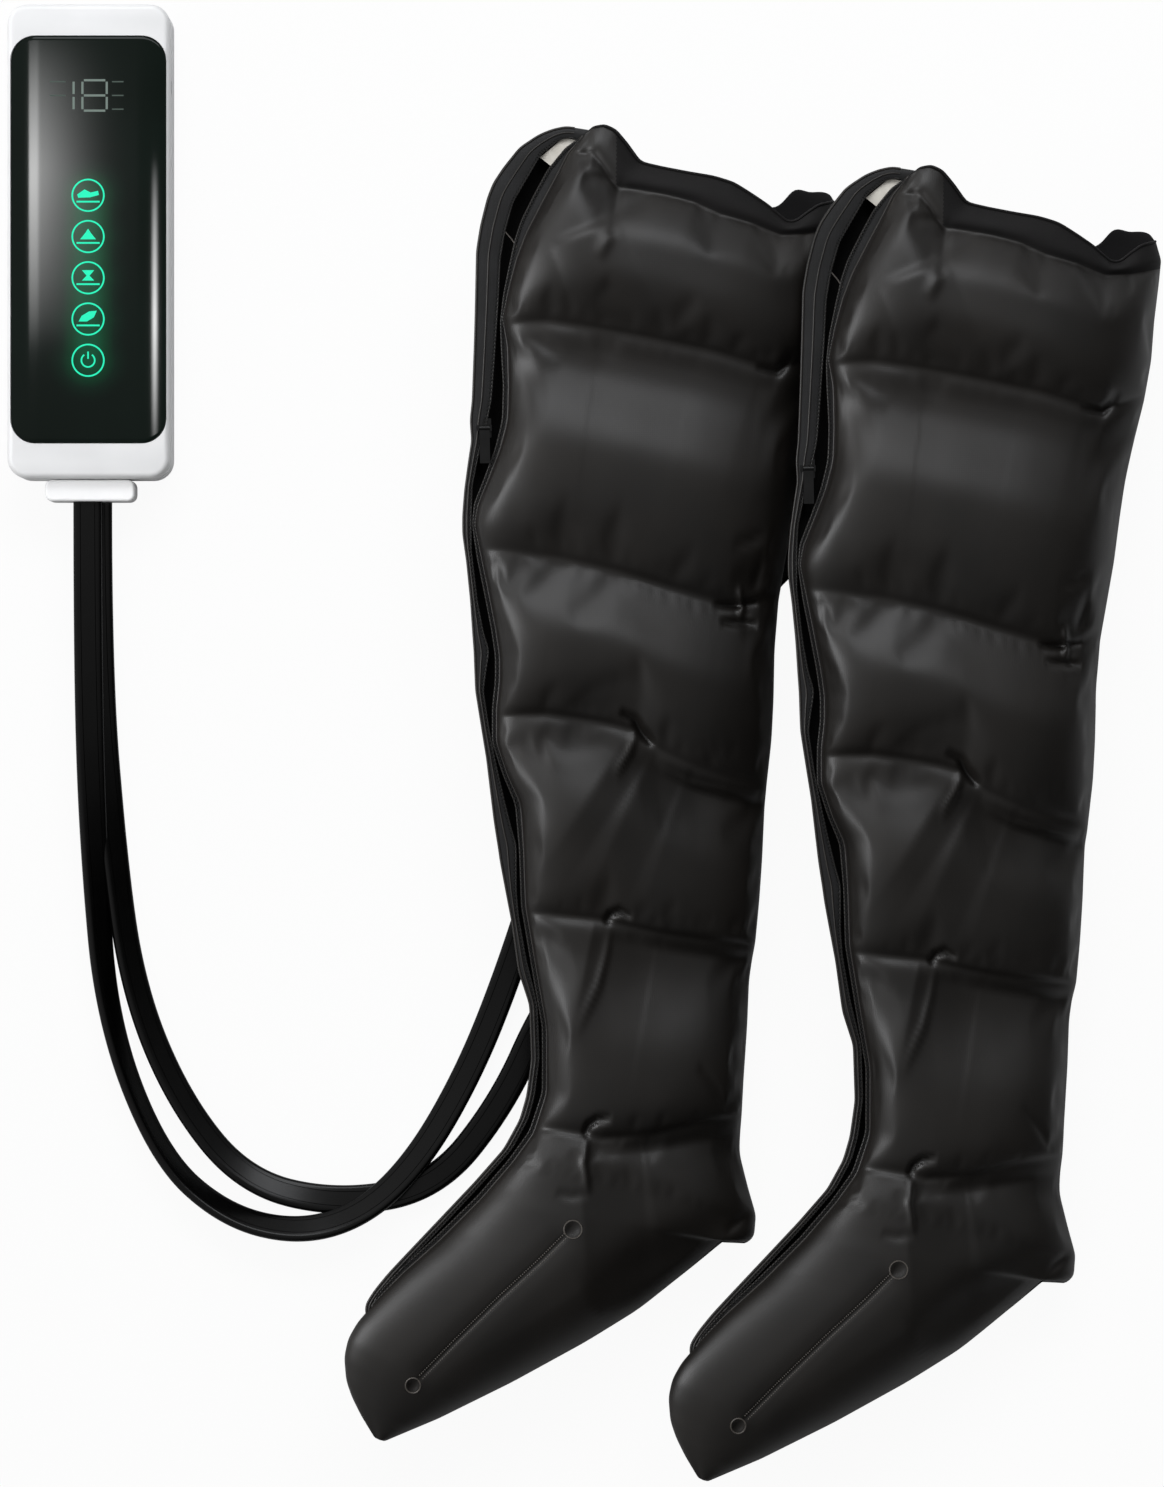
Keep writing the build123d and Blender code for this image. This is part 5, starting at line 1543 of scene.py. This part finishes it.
# ------------------------------------------------------------------ controller
@dataclass
class Controller:
    """The hand controller: white shells, curved touch glass, lit symbols and digits, and the hose plug."""

    finishes: Finishes
    centre: Point = (-341.3, 347.4)
    width: float = 112.5
    length: float = 328.0
    front_low: float = 23.6
    front_high: float = 44.0
    corner: float = 14.0
    glass_width: float = 107.4
    glass_length: float = 281.5
    glass_shift: float = 1.0
    glass_top: float = 45.0
    glass_low: float = 41.0
    glass_corner: float = 17.0
    glass_edge: float = 1.0
    crown_drop: float = 2.4
    crown_from: float = 34.0
    crown_reach: float = 19.7
    icon_first: float = 31.4
    icon_pitch: float = 28.5
    icon_radius: float = 12.0
    digits_shift: Point = (-0.5, 100.4)
    digit_half_width: float = 8.4
    digit_height: float = 21.0
    plug_size: Triple = (62.0, 15.0, 26.0)
    plug_level: float = 21.0

    @classmethod
    def icon_centres(cls) -> tuple[Point, ...]:
        """The five symbols' middles, in millimetres."""
        x, y = cls.centre
        return tuple((x, y + cls.icon_first - i * cls.icon_pitch) for i in range(5))

    def front_shell(self) -> Object:
        """The white front shell with the glass's seat sunk into it."""
        x, y = self.centre
        height = self.front_high - self.front_low
        middle = (self.front_high + self.front_low) / 2
        shell = rounded_block("front_shell", (self.width, self.length, height), (x, y, middle),
                              self.corner, 4.0, 10)
        gap, depth = 0.6, 8.0
        cutter = rounded_block("seat_cutter", (self.glass_width + gap, self.glass_length + gap, depth),
                               (x, y + self.glass_shift, self.glass_low + depth / 2), 17.2, 0.3, 10)
        modifier(shell, "BOOLEAN", object=cutter, operation="DIFFERENCE", solver="EXACT")
        bpy.data.objects.remove(cutter)
        smooth(shell, 35)
        dress(shell, self.finishes.abs_white)
        return shell

    def glass_level(self, x: np.ndarray, y: np.ndarray) -> np.ndarray:
        """Height of the glass's face over a point about its middle, all in millimetres."""
        rolled = np.clip((np.abs(x) - self.crown_from) / self.crown_reach, 0, 1)
        crown = self.crown_drop * rolled ** 2
        half_x, half_y = self.glass_width / 2, self.glass_length / 2
        over_x = np.abs(x) - (half_x - self.glass_corner)
        over_y = np.abs(y) - (half_y - self.glass_corner)
        outside = np.hypot(np.maximum(over_x, 0), np.maximum(over_y, 0))
        corner = outside + np.minimum(np.maximum(over_x, over_y), 0)
        inside = np.clip(self.glass_corner - corner, 0, self.glass_edge)
        edge = self.glass_edge - np.sqrt(self.glass_edge ** 2 - (self.glass_edge - inside) ** 2)
        return self.glass_top - crown - edge

    def glass(self) -> Object:
        """The touch glass: flat in the middle, rolled down along both long edges."""
        across, along = 72, 96
        half_x, half_y, corner = self.glass_width / 2, self.glass_length / 2, self.glass_corner
        u = np.sin(np.linspace(-np.pi / 2, np.pi / 2, across)) * 0.6 + np.linspace(-1, 1, across) * 0.4
        v = np.sin(np.linspace(-np.pi / 2, np.pi / 2, along)) * 0.5 + np.linspace(-1, 1, along) * 0.5
        x = np.tile(u * half_x, (along, 1))
        over = np.maximum(np.abs(x) - (half_x - corner), 0)
        reach = half_y - corner + np.sqrt(np.maximum(corner ** 2 - over ** 2, 0))
        y = v[:, None] * reach
        top = self.glass_level(x, y)
        bottom = np.full_like(top, self.glass_low)
        centre_x, centre_y = self.centre[0], self.centre[1] + self.glass_shift
        layers = [np.stack([x + centre_x, y + centre_y, z], axis=-1) for z in (top, bottom)]
        points = np.concatenate([layer.reshape(-1, 3) for layer in layers]) * MM
        obj = finished("touch_glass", points, slab_faces(across, along), 55)
        dress(obj, self.finishes.glass)
        return obj

    def flat_piece(self, name: str, outline: Line, centre: Point, height: float = 0.12) -> Object:
        """A thin printed shape on the glass, from its outline in millimetres about its middle."""
        count = len(outline)
        base = self.glass_top - 0.02
        points = [((centre[0] + a) * MM, (centre[1] + b) * MM, (base + z) * MM)
                  for z in (0.0, height) for a, b in outline]
        faces = [tuple(range(count - 1, -1, -1)), tuple(range(count, 2 * count))]
        faces += [(i, (i + 1) % count, (i + 1) % count + count, i + count) for i in range(count)]
        obj = new_mesh(name, np.array(points), faces)
        outward(obj)
        return obj

    def stroke(self, name: str, line: Line, centre: Point, width: float) -> Object:
        """A thin printed line of even width along points about a middle, in millimetres."""
        pts = np.array(line, float)
        run = np.gradient(pts, axis=0)
        run /= np.hypot(*run.T)[:, None]
        normal = np.stack([-run[:, 1], run[:, 0]], axis=1) * width / 2
        outline = [tuple(p) for p in pts + normal] + [tuple(p) for p in (pts - normal)[::-1]]
        return self.flat_piece(name, outline, centre)

    def ring(self, name: str, centre: Point, radius: float, width: float, start: float = 0.0,
             end: float = 360.0, count: int = 64) -> Object:
        """A printed ring or arc, as a thin washer."""
        points = [((centre[0] + r * math.cos(turn)) * MM, (centre[1] + r * math.sin(turn)) * MM,
                   (self.glass_top + z) * MM)
                  for z in (-0.02, 0.1) for r in (radius - width / 2, radius + width / 2)
                  for turn in np.radians(np.linspace(start, end, count + 1))]
        n = count + 1
        faces = []
        for i in range(count):
            faces += [(i, i + 1, n + i + 1, n + i), (2 * n + i, 3 * n + i, 3 * n + i + 1, 2 * n + i + 1),
                      (i, 2 * n + i, 2 * n + i + 1, i + 1), (n + i, n + i + 1, 3 * n + i + 1, 3 * n + i)]
        faces += [(0, n, 3 * n, 2 * n), (count, 2 * n + count, 3 * n + count, n + count)]
        obj = new_mesh(name, np.array(points), faces)
        outward(obj)
        return obj

    def symbols(self) -> list[Object]:
        """The five lit ring symbols with plain glyphs, joined to one piece each."""
        glyphs = (
            [[(-6, 0.5), (-2, 3.4), (1.5, 1.6), (5.5, 2.6), (6, 0.2), (1, -1.2), (-5.5, -1.4)]],
            [[(0, 4.6), (1.6, 2.0), (4.4, -1.6), (-4.4, -1.6), (-1.6, 2.0)]],
            [[(-3.4, 4.4), (3.4, 4.4), (0.8, 1.2), (3.4, -1.6), (-3.4, -1.6), (-0.8, 1.2)]],
            [[(-5.2, -1.4), (-3.6, 1.8), (0.6, 4.4), (4.8, 4.8), (3.2, 1.0), (-0.6, -1.4)]],
            [])
        out = []
        for index, (centre, shapes) in enumerate(zip(self.icon_centres(), glyphs)):
            parts = [self.ring(f"symbol_{index + 1}", centre, self.icon_radius - 1.1, 1.1)]
            for number, shape in enumerate(shapes):
                grown = [(x * 1.25, y * 1.2) for x, y in shape]
                parts.append(self.flat_piece(f"glyph_{index + 1}_{number}", grown, centre))
                base = [(-8.0, -4.4), (0.0, -4.4), (8.0, -4.4)]
                parts.append(self.stroke(f"base_{index + 1}", base, centre, 1.2))
            if not shapes:
                parts.append(self.ring(f"power_{index + 1}", centre, 4.6, 1.1, 125, 415))
                bar = [(0, 1.0), (0, 3.5), (0, 6.0)]
                parts.append(self.stroke(f"power_bar_{index + 1}", bar, centre, 1.1))
            out.append(joined(parts, self.finishes.symbol))
        return out

    def digits(self) -> list[Object]:
        """The number 18 in seven segments, and the small marks beside it."""
        x, y = self.centre[0] + self.digits_shift[0], self.centre[1] + self.digits_shift[1]
        half, top = self.digit_half_width, self.digit_height / 2
        segments = {
            "a": ((-half + 1, top), (half - 1, top)), "g": ((-half + 1, 0), (half - 1, 0)),
            "d": ((-half + 1, -top), (half - 1, -top)), "f": ((-half, 1), (-half, top - 1)),
            "b": ((half, 1), (half, top - 1)), "e": ((-half, -top + 1), (-half, -1)),
            "c": ((half, -top + 1), (half, -1))}
        parts = []
        for name, (start, end) in segments.items():
            middle = ((start[0] + end[0]) / 2, (start[1] + end[1]) / 2)
            parts.append(self.stroke(f"eight_{name}", [start, middle, end], (x + 5.0, y), 1.5))
        for name, low, high in (("upper", 1.0, top - 1), ("lower", -top + 1, -1.0)):
            line = [(0, low), (0, (low + high) / 2), (0, high)]
            parts.append(self.stroke(f"one_{name}", line, (x - 9.5, y), 1.5))
        number = joined(parts, self.finishes.digit)
        number.name = "number_18"
        left, right = [(-26, 0), (-21, 0), (-15, 0)], [(17, 0), (21, 0), (25, 0)]
        strokes = []
        for row, sides in enumerate(({"left": left, "right": right}, {"left": left, "right": right},
                                     {"right": right})):
            for side, line in sides.items():
                strokes.append(self.stroke(f"mark_{side}_{row}", line, (x, y + 9.5 - row * 9.5), 0.9))
        # the unlit marks glow faintly: painted light
        marks = joined(strokes, self.finishes.mark)
        marks.name = "number_marks"
        return [number, marks]

    def plug(self) -> Object:
        """The white hose plug behind the controller's lower end."""
        low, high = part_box("hose_plug")
        x = (low.x + high.x) / 2 / MM
        obj = rounded_block("hose_plug_shell", self.plug_size,
                            (x, low.y / MM + self.plug_size[1] / 2, self.plug_level), 5.0, 1.8, 8)
        dress(obj, self.finishes.abs_white)
        return obj


# ------------------------------------------------------------------ studio
@dataclass(frozen=True)
class SoftBox:
    """A card of light that only the touch glass mirrors, brightest at its peak and fading to its edges.

    The fades are the low end, the peak and the high end along each side, as shares of the card.
    """

    name: str
    spot: Triple
    size: Point
    power: float
    fade_across: Triple
    fade_along: Triple
    decay: float = 1.0
    starts_lit: bool = False


def seen_rays(tree: Tree) -> Socket:
    """One for camera and transmission rays, nought for all others."""
    rays = link_node(tree, "LightPath")
    return maths(tree, "MAXIMUM", rays.outputs["Is Camera Ray"], rays.outputs["Is Transmission Ray"])


class Studio:
    """Floor, lights, world and camera."""

    CAMERA_HEIGHT = 3.47
    LENS = 120.0

    def floor(self) -> None:
        """A white floor that keeps a faint shadow and shows white to the camera."""
        deselect()
        bpy.ops.mesh.primitive_plane_add(size=14.0, location=(0, 0, 0))
        plane = bpy.context.object
        plane.name = "studio_floor"
        material, tree, shader, position = new_material("floor_paper_white")
        tooth = link_node(tree, "TexNoise", {"Scale": 300.0}, {"Vector": position})
        tone = ramp(tree, tooth.outputs[0], [(0.3, "#e4e4e4"), (0.7, "#ececec")])
        tree.links.new(tone, shader.inputs["Base Color"])
        shader.inputs["Roughness"].default_value = 0.9
        share = maths(tree, "MULTIPLY", seen_rays(tree), 0.92)
        white = link_node(tree, "Emission", {"Color": (1, 1, 1, 1), "Strength": 1.02})
        blend = link_node(tree, "MixShader", {},
                          {0: share, 1: shader.outputs[0], 2: white.outputs[0]})
        tree.links.new(blend.outputs[0], tree.nodes["Material Output"].inputs["Surface"])
        dress(plane, material)

    def world(self) -> None:
        """A soft grey dome that looks white to the camera."""
        world = bpy.data.worlds.new("studio_dome")
        world.use_nodes = True
        bpy.context.scene.world = world
        tree = world.node_tree
        sky = tree.nodes["Background"]
        sky.inputs["Color"].default_value = (1, 1, 1, 1)
        place_node = link_node(tree, "TexCoord")
        slope = link_node(tree, "VectorMath", {"operation": "DOT_PRODUCT", 1: (-0.34, 0.21, 0.19)},
                          {0: place_node.outputs["Generated"]})
        dome = link_node(tree, "Math", {"operation": "ADD", "use_clamp": True, 1: 0.25},
                         {0: slope.outputs["Value"]})
        clear = link_node(tree, "MapRange", {"From Min": 0.0, "From Max": 1.0, "To Max": 1.0},
                          {"Value": seen_rays(tree), "To Min": dome.outputs[0]})
        tree.links.new(clear.outputs[0], sky.inputs["Strength"])

    def lamp(self, name: str, place_at: Triple, aim: Triple,
             size: tuple[float, float], power: float) -> Object:
        """Add a soft area lamp that looks at a point."""
        data = bpy.data.lights.new(name, "AREA")
        data.shape = "RECTANGLE"
        data.size, data.size_y = size
        data.energy = power
        lamp = bpy.data.objects.new(name, data)
        bpy.context.scene.collection.objects.link(lamp)
        lamp.location = place_at
        lamp.rotation_euler = (Vector(aim) - Vector(place_at)).to_track_quat("-Z", "Y").to_euler()
        lamp.visible_camera = False
        return lamp

    def lights(self) -> None:
        """The key from the thigh end."""
        key = self.lamp("key", (0.2, 1.95, 1.8), (0.05, 0.0, 0.0), (2.3, 1.0), 34.0)
        key.data.color = (0.95, 0.97, 1.0)

    def side_lamp(self, name: str, power: float, receivers: list[Object]) -> None:
        """A broad lamp from the left, as strong as these pieces need it."""
        side = self.lamp(name, (-1.78, 0.25, 1.35), (-0.05, -0.35, 0.0), (1.1, 1.3), power)
        side.data.color = (0.97, 0.98, 1.0)
        self.only_for(side, receivers)

    def case_fill(self, receivers: list[Object]) -> None:
        """A weak lamp for the white plug, which lies in the housing's lee."""
        lamp = self.lamp("case_fill", (-0.1, 0.1, 1.6), (-0.34, 0.33, 0.0), (0.6, 0.6), 6.0)
        self.only_for(lamp, receivers)

    @staticmethod
    def only_for(lamp: Object, receivers: list[Object]) -> None:
        """Let a lamp light these pieces and nothing else."""
        group = bpy.data.collections.new(lamp.name + "_receivers")
        for piece in receivers:
            group.objects.link(piece)
        lamp.light_linking.receiver_collection = group

    def glass_cards(self, glass: Object) -> None:
        """Two softboxes for the touch glass: a broad one on the left, a slim one on the right."""
        for card in (SoftBox("glass_softbox", (-0.5048, 0.475, 0.845), (0.2155, 0.27), 8.2,
                             (-0.02, 0.59, 1.0), (0.0, 0.55, 1.0), 2.2, True),
                     SoftBox("glass_strip", (-0.2318, 0.329, 0.345), (0.046, 0.22), 2.6,
                             (0.0, 0.5, 1.0), (0.0, 0.45, 1.0))):
            lamp = self.lamp(card.name, card.spot, (card.spot[0], card.spot[1], 0.0), card.size, card.power)
            self.only_for(lamp, [glass])
            lamp.data.use_nodes = True
            tree = lamp.data.node_tree
            place_node = link_node(tree, "TexCoord")
            split = link_node(tree, "SeparateXYZ", {}, {0: place_node.outputs["UV"]})
            across = self.tent(tree, split.outputs[0], card.fade_across, float(card.starts_lit), card.decay)
            along = self.tent(tree, split.outputs[1], card.fade_along, 0.0, 1.0)
            both = maths(tree, "MULTIPLY", across, along)
            tree.links.new(both, tree.nodes["Emission"].inputs["Strength"])

    @staticmethod
    def tent(tree: Tree, source: Socket, fade: Triple,
             start: float, decay: float) -> Socket:
        """Turn a place along a card into its brightness there.

        Args:
            tree: the lamp's nodes.
            source: the place, from 0 to 1.
            fade: where the light starts, peaks and ends.
            start: the brightness at its start.
            decay: power of the fall after the peak.

        Returns:
            The brightness, from 0 to 1.
        """
        low, peak, high = fade
        rise = link_node(tree, "MapRange", {"From Min": low, "From Max": peak, "To Min": start},
                         {"Value": source})
        line = link_node(tree, "MapRange",
                         {"From Min": peak, "From Max": high, "To Min": 1.0, "To Max": 0.0},
                         {"Value": source})
        fall = maths(tree, "POWER", line.outputs[0], decay)
        return maths(tree, "MINIMUM", rise.outputs[0], fall)

    def camera(self) -> None:
        """The camera straight above, the thigh end up."""
        data = bpy.data.cameras.new("camera")
        data.lens = self.LENS
        data.sensor_width = 36.0
        data.clip_end = 50.0
        camera = bpy.data.objects.new("camera", data)
        bpy.context.scene.collection.objects.link(camera)
        camera.location = (0.0, 0.0, self.CAMERA_HEIGHT)
        bpy.context.scene.camera = camera
        bpy.context.scene.view_settings.view_transform = "Standard"

    def build(self) -> None:
        """Set everything up."""
        self.floor()
        self.world()
        self.lights()
        self.camera()
        log.info("studio: floor, dome, lamps and camera")


# ------------------------------------------------------------------ putting it together
KEPT = {
    "abs_white": ("rear_housing", "air_socket"),
    "board": ("touch_board", "main_board"),
    "black": ("display_module", "buzzer", "motor_bracket", "pump_body", "rocker_plate", "pump_cap",
              "valve_manifold", "left_hose_inlet", "right_hose_inlet"),
    "symbol": ("icon_light_guides",),
    "steel": ("housing_screws", "charging_port", "pump_motor", "motor_shaft", "left_valve_plunger",
              "right_valve_plunger"),
    "rubber": ("rubber_feet", "diaphragm", "air_tubes", "plug_seals"),
    "wrap": ("battery_pack",),
    "copper": ("valve_coils",),
    "enamel": ("left_zip_slider", "right_zip_slider", "left_zip_pull", "right_zip_pull")}


def mount(piece: Object, body: Ride, nodes: tuple[str, ...] = ()) -> None:
    """Attach a piece to its body and hide the CAD nodes that it stands for."""
    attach(piece, body.value)
    if nodes:
        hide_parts(*nodes)
    log.info("%s: %d faces", piece.name, len(piece.data.polygons))


def dress_kept(finishes: Finishes) -> None:
    """Give each CAD node that stays its own finish."""
    for finish, nodes in KEPT.items():
        for node in nodes:
            dress(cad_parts[node], getattr(finishes, finish))


def other_side(name: str) -> str:
    """The right boot's name for a piece or node of the left one."""
    return name.replace(Side.LEFT.value, Side.RIGHT.value)


def build_boots(finishes: Finishes, studio: Studio) -> None:
    """Build the left boot, then copy each piece to the right one."""
    pieces = Boot(Side.LEFT, finishes).build()
    lit = []
    for piece, slot, nodes in pieces:
        twin = copied(piece, other_side(piece.name))
        mount(piece, Ride.BOOTS, nodes)
        mount(twin, Ride.BOOTS, tuple(other_side(node) for node in nodes))
        lit += [piece, twin]
    studio.side_lamp("boot_side", 36.0, lit)


def build_hoses(finishes: Finishes) -> None:
    for name, route, turns, extra in (
            ("left_hose", LEFT_ROUTE, LEFT_TURNS, [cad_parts["plug_seals"]]),
            ("right_hose", RIGHT_ROUTE, RIGHT_TURNS, [])):
        piece, path = Hose(name + "_ribbon", route, turns, finishes).build()
        mount(piece, Ride.BOOTS, (name,))


def build_controller(controller: Controller, studio: Studio) -> None:
    """Build the controller's visible pieces."""
    shell, plug = controller.front_shell(), controller.plug()
    studio.case_fill([plug])
    studio.side_lamp("case_side", 20.0, [shell, plug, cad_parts["rear_housing"]])
    mount(shell, Ride.CONTROLLER, ("front_housing",))
    glass = controller.glass()
    mount(glass, Ride.CONTROLLER, ("glass_panel",))
    studio.glass_cards(glass)
    for piece in controller.symbols():
        mount(piece, Ride.CONTROLLER)
    for piece in controller.digits():
        mount(piece, Ride.CONTROLLER)
    mount(plug, Ride.BOOTS, ("hose_plug",))


def main() -> None:
    """Build everything in order."""
    studio = Studio()
    studio.build()
    finishes = Finishes(Controller.icon_centres())
    build_hoses(finishes)
    dress_kept(finishes)
    build_boots(finishes, studio)
    build_controller(Controller(finishes), studio)


if __name__ == "__main__":
    main()
    bpy.context.view_layer.update()
